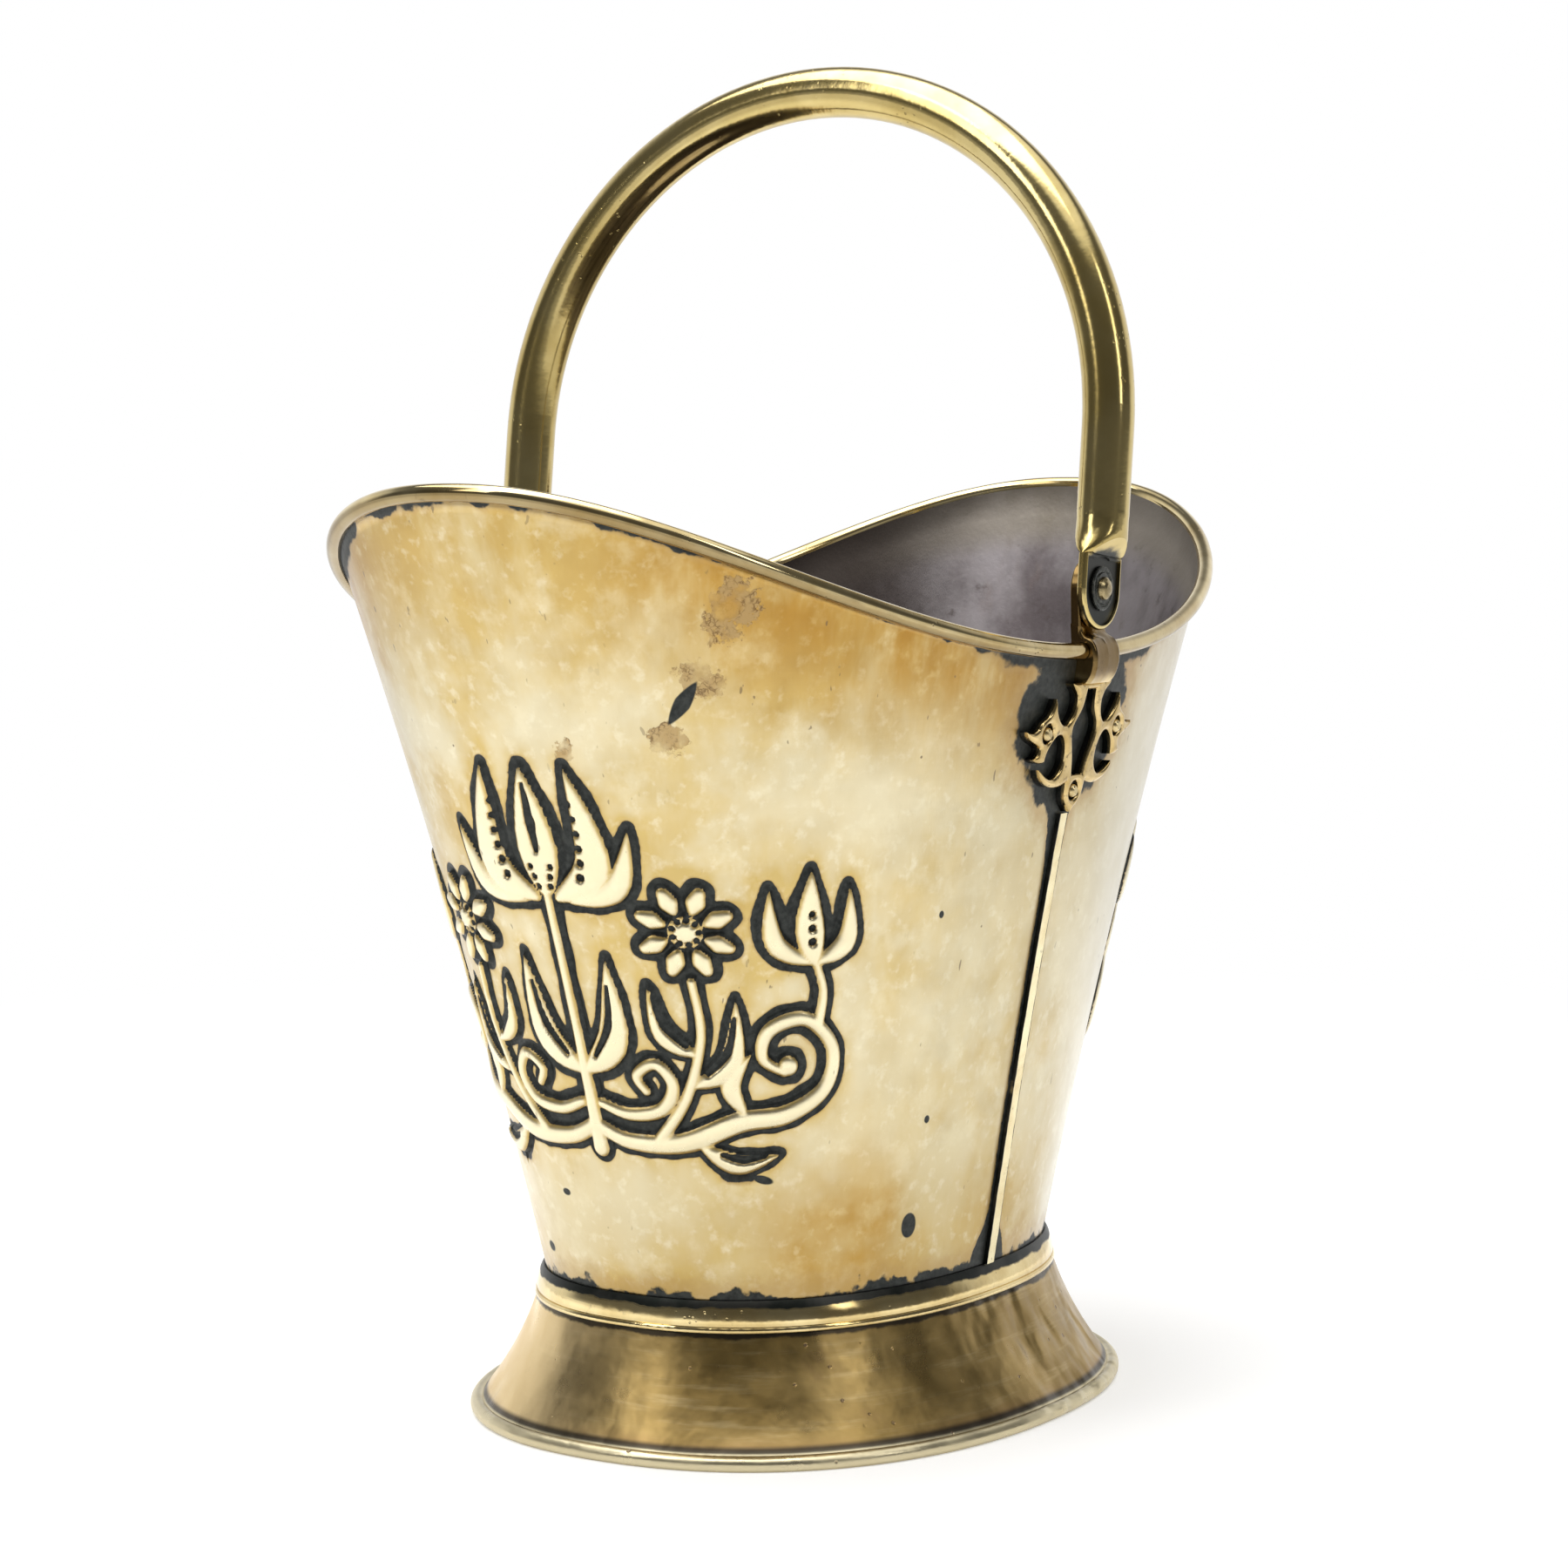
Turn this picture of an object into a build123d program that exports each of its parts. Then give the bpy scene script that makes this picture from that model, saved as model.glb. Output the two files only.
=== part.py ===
from build123d import *
import math
import os

os.makedirs("parts", exist_ok=True)

# Oval brass log bucket. Millimetres, +Z up, floor at z = 0, origin under the middle of the foot.
# -X is the front lip, +X the back lip, -Y the right-hand lug and +Y the left-hand lug.

# Body: a flared oval of sheet brass with a slightly hollow profile
OVAL_POWER = 2.23
SHEET = 1.0
BODY_Z = 49.0
BODY_A = 100.9
BODY_B = 73.2
FLARE_A = 0.348
FLARE_B = 0.196
HOLLOW = 14.3
HOLLOW_SPAN = 245.6
BODY_FOOT_Z = 38.6
BODY_TOP_Z = 326.0
BODY_SECTIONS = (34.0, 108.0, 182.0, 256.0, 330.0)
SEAM_GAP = 0.02

# Rim: low at the lugs, high at the two lips, rolled outward over a wire
RIM_LUG_Z = 254.0
RIM_LIP_Z = 306.6
RIM_LIP_X = 192.8
RIM_ROLL_R = 2.75
RIM_WIRE_R = 1.7
RIM_ROLL_OUT = 1.3
RIM_WALL_DROP = 1.3

# Foot and the moulding that covers its joint with the body
FOOT_A = 123.4
FOOT_B = 100.0
FOOT_SHEET = 1.2
FOOT_ROLL_R = 2.6
FOOT_ROLL_Z = 2.3
FOOT_WIRE_R = 1.45
FOOT_TOP_Z = 39.2
COLLAR_A = 103.6
COLLAR_B = 77.1
NECK_TOP_Z = 46.0
COLLAR_TOP_Z = 49.6
PAN_Z = 44.0
PAN_SHEET = 1.2
PAN_LIP = 5.0

# Side seam strips
STRIP_W = 5.0
STRIP_PROUD = 1.5
STRIP_TOP_Z = 200.8

# Handle: a round tube bent to a bow, its ends pressed flat for the pivots
PIVOT_Z = 274.0
HANDLE_HALF = 114.9
TUBE_R = 8.5
TUBE_WALL = 1.2
BOW_START_Z = 325.0
BOW_TOP_Z = 441.0
BOW_SIDE_R = 135.0
HANDLE_LEAN = 7.0
TAB_W = 25.0
TAB_T = 3.2
TAB_FLAT_Z = 284.4
TAB_ROUND_Z = 299.0
TAB_TIP = 13.4
TAB_RECESS = 0.9
TAB_LIP = 1.3
FACET_Z = (283.2, 291.2)

# Pivot rivets
PIVOT_R = 2.6
PIVOT_RUN = 0.06
HEAD_R = 3.8

# Cast lugs: an ear above the rim, a neck over the rim and an openwork plate on the wall
EAR_IN = 109.6
EAR_OUT = 113.0
EAR_R = 9.6
PLATE_T = 3.0
TONGUE_OUT = 118.6
LUG_PINS = [(-23.4, 228.2), (23.4, 228.2), (0.0, 208.4)]
PIN_R = 1.3
DOME_R = 2.3
POCKET_R = 3.2

# Gap left between touching pieces, and between pieces that move past each other
FIT = 0.05
RIM_FIT = 0.15
RUN = 0.3


def body_axes(z, off=0.0):
    """Half length and half width of the body's outside at a height, moved out by off."""
    t = (z - BODY_Z) / HOLLOW_SPAN
    dip = HOLLOW * t * (t - 1)
    rise = z - BODY_Z
    return BODY_A + FLARE_A * rise + dip + off, BODY_B + FLARE_B * rise + 0.6 * dip + off


def oval_point(a, b, angle, power=OVAL_POWER):
    c, s = math.cos(angle), math.sin(angle)
    x = a * math.copysign(abs(c) ** (2 / power), c)
    y = b * math.copysign(abs(s) ** (2 / power), s)
    return x, y


def oval_edge(a, b, z, power=OVAL_POWER, count=24):
    points = []
    for i in range(count):
        x, y = oval_point(a, b, 2 * math.pi * i / count, power)
        points.append((x, y, z))
    return Spline(*points, periodic=True)


def oval_face(a, b, z, power=OVAL_POWER, count=24):
    return Face(Wire([oval_edge(a, b, z, power, count)]))


def oval_loft(sections, ruled=False):
    """Solid through ovals given as (half length, half width, height)."""
    return loft([oval_face(a, b, z) for a, b, z in sections], ruled=ruled)


def block(x0, x1, y0, y1, z0, z1):
    return Pos((x0 + x1) / 2, (y0 + y1) / 2, (z0 + z1) / 2) * Box(x1 - x0, y1 - y0, z1 - z0)


def body_core(off, low, high):
    """Solid body shape moved out by off, between two heights."""
    sections = []
    for z in BODY_SECTIONS:
        a, b = body_axes(z, off)
        sections.append((a, b, z))
    return oval_loft(sections) & block(-300, 300, -300, 300, low, high)


def rim_height(x):
    return RIM_LUG_Z + (RIM_LIP_Z - RIM_LUG_Z) * (x / RIM_LIP_X) ** 2


def rim_point(angle, off):
    """Point on the rim line, moved out from the wall's outside by off."""
    z = RIM_LIP_Z
    for _ in range(40):
        a, b = body_axes(z, off)
        x, y = oval_point(a, b, angle)
        z = rim_height(x)
    return x, y, z


def half_turn(steps=12):
    """Angles along the front half of an oval, running one step past each end."""
    return [math.pi / 2 + math.pi * i / steps for i in range(-1, steps + 2)]


def rim_half():
    """Centre of the rolled rim along the front half."""
    return Spline(*[rim_point(angle, RIM_ROLL_OUT) for angle in half_turn()])


def oval_half(a, b, z):
    """Front half of a level oval as a line."""
    return Spline(*[(*oval_point(a, b, angle), z) for angle in half_turn()])


def rod_on(line, radius, bore=0):
    """Round rod or tube that follows a line."""
    ring = Circle(radius) - Circle(bore) if bore else Circle(radius)
    return sweep(Plane(origin=line @ 0, z_dir=line % 0) * ring, path=line)


def mirrored(shape):
    """The same piece on the left-hand side."""
    return mirror(shape, Plane.XZ)


def whole(front):
    """A front half together with its mirrored back half."""
    return front + mirror(front, Plane.YZ)


def along_y(sketch, y0, y1):
    """Extrude a sketch drawn in X and Z from y0 to y1, with y1 the lower value."""
    return extrude(Plane.XZ.offset(-y0) * sketch, amount=y0 - y1)


def above_rim(drop):
    """Everything above the rim line lowered by drop."""
    upper = [(x, rim_height(x) - drop) for x in range(-240, 241, 24)]
    rim_line = Spline(*upper, tangents=[(1, -1.0), (1, 1.0)])
    rim_box = Polyline(upper[-1], (240, 420), (-240, 420), upper[0])
    return extrude(Plane.XZ.offset(-170) * make_face([rim_line, rim_box]), amount=340)


front = block(-260, 0, -170, 170, -10, 420)
clear_core = body_core(FIT, BODY_FOOT_Z - 1, BODY_TOP_Z + 1)

# Body panels, each with its half of the rim rolled over the wire
wall = body_core(0, BODY_FOOT_Z, BODY_TOP_Z) - body_core(-SHEET, BODY_FOOT_Z - 1, BODY_TOP_Z + 1)
wall -= above_rim(RIM_WALL_DROP)
rim_line = rim_half()
front_panel = (wall & front) + (rod_on(rim_line, RIM_ROLL_R, RIM_WIRE_R + FIT) & front)
front_panel &= block(-260, -SEAM_GAP, -170, 170, 0, 420)
rim_wire = whole(rod_on(rim_line, RIM_WIRE_R) & front)

# Pan that closes the bottom of the body, with an upturned lip
base_pan = body_core(-SHEET - FIT, PAN_Z, PAN_Z + PAN_LIP)
base_pan -= body_core(-SHEET - FIT - PAN_SHEET, PAN_Z + PAN_SHEET, PAN_Z + PAN_LIP + 1)

# Foot: flared sheet with a shoulder and a neck around the body, hemmed over a wire at the floor
hem_a = FOOT_A - FOOT_ROLL_R
hem_b = FOOT_B - FOOT_ROLL_R
skirt = [(hem_a - 0.75, hem_b - 0.75, FOOT_ROLL_Z + 1.5), (110.6, 85.2, 20.0)]
skirt.append((COLLAR_A - 0.5, COLLAR_B - 0.5, FOOT_TOP_Z))
hollow = [(a - FOOT_SHEET, b - FOOT_SHEET, z) for a, b, z in skirt]
hollow[0] = (hollow[0][0], hollow[0][1], skirt[0][2] - 0.01)
hollow[2] = (hollow[2][0], hollow[2][1], FOOT_TOP_Z - FOOT_SHEET)
foot_skirt = oval_loft(skirt) - oval_loft(hollow)
foot_skirt += body_core(FIT + FOOT_SHEET, FOOT_TOP_Z - 0.5, NECK_TOP_Z)
foot_skirt -= body_core(FIT, FOOT_TOP_Z - 3, NECK_TOP_Z + 1)
hem_line = oval_half(hem_a, hem_b, FOOT_ROLL_Z)
hem = rod_on(hem_line, FOOT_ROLL_R, FOOT_WIRE_R + 2 * FIT) & front
foot_skirt = (foot_skirt & front) + hem
foot_skirt = whole(foot_skirt & block(-200, 0, -200, 200, 0, 100))
foot_wire = whole(rod_on(hem_line, FOOT_WIRE_R) & front)

# Collar moulding: a small bead below, then a rounded shoulder up to the wall
bead = [(COLLAR_A - 0.2, COLLAR_B - 0.2, FOOT_TOP_Z + FIT)]
bead += [(COLLAR_A + 0.3, COLLAR_B + 0.3, 40.2), (COLLAR_A - 0.1, COLLAR_B - 0.1, 41.3)]
shoulder = [(COLLAR_A - 0.5, COLLAR_B - 0.5, 41.3), (COLLAR_A - 0.3, COLLAR_B - 0.4, 43.2)]
shoulder += [(103.0, 76.1, 45.4), (102.5, 75.1, 47.7), (101.7, 73.95, COLLAR_TOP_Z)]
collar_band = oval_loft(bead) + oval_loft(shoulder)
collar_band -= body_core(2 * FIT + FOOT_SHEET, FOOT_TOP_Z - 1, NECK_TOP_Z + FIT)
collar_band -= body_core(FIT, NECK_TOP_Z - 1, COLLAR_TOP_Z + 1)

# Strips over the two side seams
strip_shell = body_core(STRIP_PROUD, COLLAR_TOP_Z + FIT, STRIP_TOP_Z) - clear_core
right_strip = strip_shell & block(-STRIP_W / 2, STRIP_W / 2, -150, 0, 0, 300)
left_strip = mirrored(right_strip)

# Cast lug, right-hand side first
ear_form = Pos(0, PIVOT_Z) * Circle(EAR_R)
ear_form += Polygon((-EAR_R, PIVOT_Z), (-9.2, 262), (9.2, 262), (EAR_R, PIVOT_Z), align=None)
ear = along_y(ear_form, -EAR_IN, -EAR_OUT)
ear = fillet(ear.edges().filter_by(GeomType.CIRCLE), 0.7)
tongue_form = Polygon(
    (-9.2, 263), (-8.6, 257.5), (-8.4, 251), (-7.6, 243.4),
    (7.6, 243.4), (8.4, 251), (8.6, 257.5), (9.2, 263), align=None,
)
neck_crest = [(EAR_OUT, 261.4), (113.9, 259.3), (116.1, 258.1), (117.9, 255.8), (TONGUE_OUT, 252.4)]
neck_crest += [(118.2, 248.6), (117.0, 245.6), (115.4, 243.6)]
neck_back = [(115.4, 243.6), (100.0, 243.6), (100.0, 250.0), (EAR_IN, 255.8), (EAR_IN, 263.0)]
neck_back += [(EAR_OUT, 263.0), (EAR_OUT, 261.4)]
crest_line = Spline(*[(0, -o, z) for o, z in neck_crest])
side_face = make_face([crest_line, Polyline(*[(0, -o, z) for o, z in neck_back])])
tongue = extrude(side_face, amount=20, dir=(1, 0, 0), both=True)
tongue &= along_y(tongue_form, -95, -125)
long_edges = [e for e in tongue.edges() if abs(e.center().X) > 7 and e.center().Y < -113.6 and e.length > 1.5]
tongue = fillet(long_edges, 1.2)

bar_in = [(3.2, 241.6), (3.5, 239.2), (3.9, 236.7), (5.2, 234.0), (6.9, 231.8), (8.2, 229.6)]
bar_in += [(8.0, 226.8), (6.6, 223.2), (5.2, 219.6), (4.3, 216.4), (3.6, 213.6)]
bar_out = [(10.8, 241.8), (8.8, 239.8), (8.0, 237.3), (8.4, 235.0), (9.8, 232.4), (12.4, 230.4)]
ridge = [(12.4, 230.4), (15.6, 231.0), (18.2, 233.0), (20.2, 235.8), (21.6, 239.4)]
ridge_back = [(21.6, 239.4), (22.6, 236.2), (24.4, 233.8), (27.2, 232.2), (29.0, 230.0)]
horn = [(29.0, 230.0), (31.2, 229.0), (35.2, 229.4)]
horn_back = [(35.2, 229.4), (32.6, 226.6), (28.8, 225.0), (26.4, 223.8)]
spur = [(26.4, 223.8), (27.0, 221.8), (29.4, 220.2)]
spur_back = [(29.4, 220.2), (26.0, 218.9), (22.8, 218.9)]
low_in = [(22.8, 218.9), (22.0, 222.2), (20.0, 225.2), (16.6, 227.2), (13.4, 226.8)]
low_in += [(11.2, 224.2), (10.2, 221.0), (10.4, 217.8), (12.0, 215.0), (15.0, 213.2)]
low_in += [(19.4, 213.8), (24.6, 216.6)]
low_out = [(24.6, 216.6), (21.0, 212.4), (15.6, 210.4), (10.4, 210.4), (6.2, 211.6)]
tip = [(6.2, 211.6), (5.9, 208.6), (5.0, 205.8), (2.6, 203.4), (0.0, 201.4)]
half_plate = [
    Line((0, 243.8), (13.0, 243.8)),
    Line((13.0, 243.8), bar_out[0]),
    Spline(*bar_out),
    Spline(*ridge),
    Spline(*ridge_back),
    Spline(*horn),
    Spline(*horn_back),
    Spline(*spur),
    Spline(*spur_back),
    Spline(*low_in),
    Spline(*low_out),
    Spline(*tip),
    Line((0.0, 201.4), (0, 243.8)),
]
plate_form = make_face(half_plate)
slot = make_face([
    Line((0, 241.6), bar_in[0]),
    Spline(*bar_in),
    Line(bar_in[-1], (0, 213.6)),
    Line((0, 213.6), (0, 241.6)),
])
plate_form = plate_form - slot
plate_form = plate_form + mirror(plate_form, Plane.YZ)
plate_shell = body_core(PLATE_T, 190, 250) - clear_core
plate = along_y(plate_form, -85, -130) & plate_shell
pocket_shell = body_core(PLATE_T + 2, 190, 250) - body_core(PLATE_T - 1.3, 189, 251)
for x, z in LUG_PINS:
    plate -= along_y(Pos(x, z) * Circle(POCKET_R), -85, -130) & pocket_shell
right_lug = ear + tongue + plate
right_lug -= clear_core - above_rim(0)
right_lug -= whole(rod_on(rim_line, RIM_ROLL_R + RIM_FIT) & front)
right_lug -= along_y(Pos(0, PIVOT_Z) * Circle(PIVOT_R + FIT), -100, -125)
for x, z in LUG_PINS:
    right_lug -= along_y(Pos(x, z) * Circle(PIN_R + FIT), -85, -130)
left_lug = mirrored(right_lug)


def wall_out(x, z):
    a, b = body_axes(z)
    return b * (1 - (abs(x) / a) ** OVAL_POWER) ** (1 / OVAL_POWER)


# Three small pins per lug: a domed head outside and a flat burr inside the wall
right_pins = []
pin_holes = []
for x, z in LUG_PINS:
    seat = wall_out(x, z) + PLATE_T - 1.3 + 0.6
    inner = wall_out(x, z) - SHEET - 0.6
    shank = along_y(Pos(x, z) * Circle(PIN_R), -inner + 0.4, -seat - 0.4)
    dome = Pos(x, -seat, z) * Sphere(DOME_R) & block(x - 4, x + 4, -seat - 9, -seat, z - 4, z + 4)
    dome = dome & block(x - 4, x + 4, -seat - DOME_R * 0.85, -seat, z - 4, z + 4)
    burr = along_y(Pos(x, z) * Circle(2.4), -inner + 0.9, -inner)
    right_pins.append(shank + dome + burr)
    pin_holes.append(along_y(Pos(x, z) * Circle(PIN_R + FIT), 140, -140))
right_lug_pins = right_pins[0] + right_pins[1] + right_pins[2]
for hole in pin_holes:
    front_panel -= hole
back_panel = mirror(front_panel, Plane.YZ)

# Handle bow, drawn upright and then leaned over
side_a = BOW_SIDE_R - HANDLE_HALF
side_b = BOW_SIDE_R - (BOW_TOP_Z - BOW_START_Z)
crown_up = (side_a**2 - side_b**2) / (2 * side_b)
crown_r = BOW_TOP_Z - BOW_START_Z - crown_up
turn = math.degrees(math.atan2(crown_up, side_a))


def bow_point(radius, centre_y, centre_z, angle, side):
    y = centre_y + radius * math.cos(math.radians(angle))
    return 0, side * y, BOW_START_Z + centre_z + radius * math.sin(math.radians(angle))


def bow_line():
    edges = []
    lower = [bow_point(BOW_SIDE_R, -side_a, 0, a, -1) for a in (0, turn / 2, turn)]
    crown = [bow_point(crown_r, 0, crown_up, a, -1) for a in (turn, 90)]
    crown.append(bow_point(crown_r, 0, crown_up, turn, 1))
    upper_side = [bow_point(BOW_SIDE_R, -side_a, 0, a, 1) for a in (turn, turn / 2, 0)]
    edges.append(Line((0, -HANDLE_HALF, TAB_ROUND_Z), lower[0]))
    edges.append(ThreePointArc(*lower))
    edges.append(ThreePointArc(*crown))
    edges.append(ThreePointArc(*upper_side))
    edges.append(Line(upper_side[-1], (0, HANDLE_HALF, TAB_ROUND_Z)))
    return Wire(edges)


def press_loft(radius, sections):
    """Right-hand leg pressed from round to flat, through flattening ovals."""
    faces = [Pos(0, -HANDLE_HALF, TAB_ROUND_Z) * Circle(radius)]
    for a, b, z, power in sections:
        faces.append(Pos(0, -HANDLE_HALF, 0) * oval_face(a, b, z, power))
    return loft(faces)


tube_ring = Circle(TUBE_R) - Circle(TUBE_R - TUBE_WALL)
tube = sweep(Plane(origin=(0, -HANDLE_HALF, TAB_ROUND_Z)) * tube_ring, path=bow_line())
half_t = TAB_T / 2
flat = [(8.52, 8.48, 297.0, 2.0), (9.1, 8.2, 293.4, 2.05), (10.4, 7.4, 289.6, 2.3), (12.0, 4.6, 286.0, 3.0)]
flat.append((TAB_W / 2, half_t, TAB_FLAT_Z, 3.6))
flat_bore = [(7.4, 6.8, 297.0, 2.0), (7.6, 4.2, 294.9, 2.1), (7.8, 1.0, 293.4, 2.4)]
leg_end = press_loft(TUBE_R, flat) - press_loft(TUBE_R - TUBE_WALL, flat_bore)
tab_form = Pos(0, PIVOT_Z - TAB_TIP + TAB_W / 2) * Circle(TAB_W / 2)
tab_form += Polygon(
    (-TAB_W / 2, TAB_FLAT_Z), (-TAB_W / 2, PIVOT_Z - TAB_TIP + TAB_W / 2),
    (TAB_W / 2, PIVOT_Z - TAB_TIP + TAB_W / 2), (TAB_W / 2, TAB_FLAT_Z), align=None,
)
tab = along_y(tab_form, -HANDLE_HALF + half_t, -HANDLE_HALF - half_t)
rounded = [e for e in tab.edges() if e.center().Z < TAB_FLAT_Z - 0.5 and abs(e.bounding_box().size.Y) < 0.1]
tab = fillet(rounded, half_t * 0.75)
press_r = TAB_W / 2 - TAB_LIP
press_c = PIVOT_Z - TAB_TIP + TAB_W / 2
press_form = Pos(0, press_c) * Circle(press_r)
press_form += Polygon(
    (-press_r, press_c), (press_r, press_c), (press_r, FACET_Z[0]), (-press_r, FACET_Z[0]), align=None,
)
press_o = HANDLE_HALF + half_t - TAB_RECESS
leg_end += tab
leg_end -= along_y(press_form, -press_o, -140)

# Slanted face struck into the tube above each recess
facet_side = [(press_o, FACET_Z[0] - 0.2), (HANDLE_HALF + TUBE_R, FACET_Z[1]), (140, FACET_Z[1])]
facet_side.append((140, FACET_Z[0] - 0.2))
facet_face = make_face(Polyline(*[(0, -o, z) for o, z in facet_side], close=True))
leg_end -= extrude(facet_face, amount=press_r, dir=(1, 0, 0), both=True)
leg_end -= along_y(Pos(0, PIVOT_Z) * Circle(PIVOT_R + PIVOT_RUN), -100, -130)
handle_up = tube + leg_end + mirrored(leg_end)
lean_axis = Axis((0, 0, PIVOT_Z), (0, 1, 0))
handle_tube = handle_up.rotate(lean_axis, HANDLE_LEAN)


def turned(profile):
    """Ring or pin about the right-hand pivot: profile is (radius, distance out along -Y)."""
    face = make_face(Polyline(*[(r, -o, PIVOT_Z) for r, o in profile], close=True))
    return revolve(face, Axis((0, 0, PIVOT_Z), (0, 1, 0)), 360)


# Pivot rivets with a ringed washer outside and a plain one inside
wash_o = press_o + RUN
ring = [(PIVOT_R + FIT, wash_o), (7.2, wash_o), (7.2, wash_o + 0.6), (6.7, wash_o + 0.9)]
ring += [(6.1, wash_o + 0.9), (5.8, wash_o + 0.55), (5.3, wash_o + 0.55), (5.0, wash_o + 1.0)]
ring += [(PIVOT_R + FIT, wash_o + 1.0)]
right_pivot_washer = turned(ring)
head_o = wash_o + 1.0 + FIT
burr_o = EAR_IN - FIT - 1.0 - FIT
rivet = [(0, burr_o - 1.7), (1.9, burr_o - 1.5), (3.4, burr_o - 0.9), (4.0, burr_o)]
rivet += [(PIVOT_R, burr_o), (PIVOT_R, head_o), (HEAD_R, head_o), (HEAD_R - 0.25, head_o + 0.8)]
rivet += [(2.7, head_o + 1.5), (1.5, head_o + 1.9), (0, head_o + 2.0)]
right_pivot_rivet = turned(rivet)
right_inner_washer = turned([
    (PIVOT_R + FIT, EAR_IN - FIT - 1.0), (6.0, EAR_IN - FIT - 1.0),
    (6.0, EAR_IN - FIT), (PIVOT_R + FIT, EAR_IN - FIT),
])

pieces = {
    "front_panel": front_panel,
    "back_panel": back_panel,
    "rim_wire": rim_wire,
    "base_pan": base_pan,
    "collar_band": collar_band,
    "foot_skirt": foot_skirt,
    "foot_wire": foot_wire,
    "right_seam_strip": right_strip,
    "left_seam_strip": left_strip,
    "right_lug": right_lug,
    "left_lug": left_lug,
    "right_lug_pins": right_lug_pins,
    "left_lug_pins": mirrored(right_lug_pins),
    "handle_tube": handle_tube,
    "right_pivot_rivet": right_pivot_rivet,
    "left_pivot_rivet": mirrored(right_pivot_rivet),
    "right_pivot_washer": right_pivot_washer,
    "left_pivot_washer": mirrored(right_pivot_washer),
    "right_inner_washer": right_inner_washer,
    "left_inner_washer": mirrored(right_inner_washer),
}
for name, shape in pieces.items():
    export_step(shape, "parts/" + name + ".step")
    print(name, len(shape.solids()), round(shape.volume), shape.is_valid)
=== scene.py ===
import math

import bpy
import numpy as np
from mathutils import Matrix, Vector


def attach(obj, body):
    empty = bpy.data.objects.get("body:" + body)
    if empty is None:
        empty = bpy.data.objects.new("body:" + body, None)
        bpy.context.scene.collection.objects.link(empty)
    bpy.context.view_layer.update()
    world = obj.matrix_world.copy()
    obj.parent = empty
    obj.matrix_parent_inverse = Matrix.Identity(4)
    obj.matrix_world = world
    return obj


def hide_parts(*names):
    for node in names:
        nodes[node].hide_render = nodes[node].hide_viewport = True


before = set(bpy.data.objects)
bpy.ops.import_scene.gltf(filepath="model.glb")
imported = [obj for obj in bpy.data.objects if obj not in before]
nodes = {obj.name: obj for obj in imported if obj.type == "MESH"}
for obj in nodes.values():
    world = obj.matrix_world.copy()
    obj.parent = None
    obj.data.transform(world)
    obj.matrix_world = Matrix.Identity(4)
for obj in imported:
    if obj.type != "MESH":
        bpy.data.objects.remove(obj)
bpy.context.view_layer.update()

# Sizes in metres, the same as the CAD model's
MM = 0.001
OVAL_POWER = 2.23
SHEET = 1.0 * MM
BODY_Z, BODY_A, BODY_B = 49.0 * MM, 100.9 * MM, 73.2 * MM
FLARE_A, FLARE_B = 0.348, 0.196
HOLLOW, HOLLOW_SPAN = 14.3 * MM, 245.6 * MM
PANEL_LOW_Z = 40.0 * MM
RIM_LUG_Z, RIM_LIP_Z, RIM_LIP_X = 254.0 * MM, 306.6 * MM, 192.8 * MM
RIM_ROLL_R, RIM_ROLL_OUT = 2.75 * MM, 1.3 * MM
SEAM_GAP = 0.02 * MM
COLLAR_TOP_Z = 49.6 * MM
LUG_Z = 232.0 * MM
LUG_BEND_X, LUG_BEND = 0.152, 0.45  # the wall beside the lug falls back by this share at this x
PIVOT_Z, HANDLE_LEAN = 274.0 * MM, math.radians(7)

# The embossed border: its middle in metres, then in millimetres its lower and upper end, half
# length, grid and the coarser steps beside it, height, rounding and the groove round it
BORDER_MID_Z = 150.0 * MM
BORDER_LOW, BORDER_HIGH, BORDER_HALF = 92.0, 238.0, 97.0
GRID, COARSE, COARSE_LOW = 0.7, 3.0, 4.0
RELIEF_H = 2.1
RELIEF_ROUND = 1.1
GROOVE_D, GROOVE_W = 0.7, 3.2
TOP_ROWS, ROLL_ROWS, INSIDE_ROWS = 16, 21, 26  # of the panel, from the border's top onward

# Rounded bars of the lugs' openwork
LUG_PLATE, PLATE_TOP_Z = 3.0 * MM, 243.8 * MM
SCROLL_GRID, SCROLL_H, SCROLL_ROUND = 0.3 * MM, 0.9 * MM, 1.7 * MM

# Camera, from the fit to the photograph
CAMERA_AT = Vector((-1.1002, -0.6954, 0.3130))
CAMERA_LOOK = Vector((-0.0074, 0.0008, 0.2068))
CAMERA_ROLL = math.radians(-0.31)
LENS, SENSOR = 88.4, 36.0

# Floor: half its side, where it fades to white, and its glow. Light: the backdrop's middle as a
# direction, its fades sideways and upward, and the room's brightness from the horizon to overhead
FLOOR_HALF, FLOOR_FADE, FLOOR_GLOW = 3.0, (0.45, 1.1), 0.31
BACKDROP = (0.84, 0.54, 0.0)
BACKDROP_SPREAD, BACKDROP_TOP = (0.10, 0.60, 0.0, 0.95), (0.70, 0.25, 0.0, 1.0)
ROOM = ((0.0, 0.40), (0.05, 0.17), (0.30, 0.11), (0.70, 0.15), (0.80, 1.25), (1.0, 1.4))
LAMPS = (  # name, place, aim, width, height, watts
    ("overhead", (-0.16, 0.20, 1.7), (0, 0, 0.2), 1.6, 1.6, 22),
    ("side_left", (-1.5, 0.7, 1.5), (0, 0, 0.1), 0.5, 1.4, 7),
    ("side_right", (-0.1, -1.8, 1.3), (0, 0, 0.1), 0.3, 1.2, 4),
)

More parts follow.
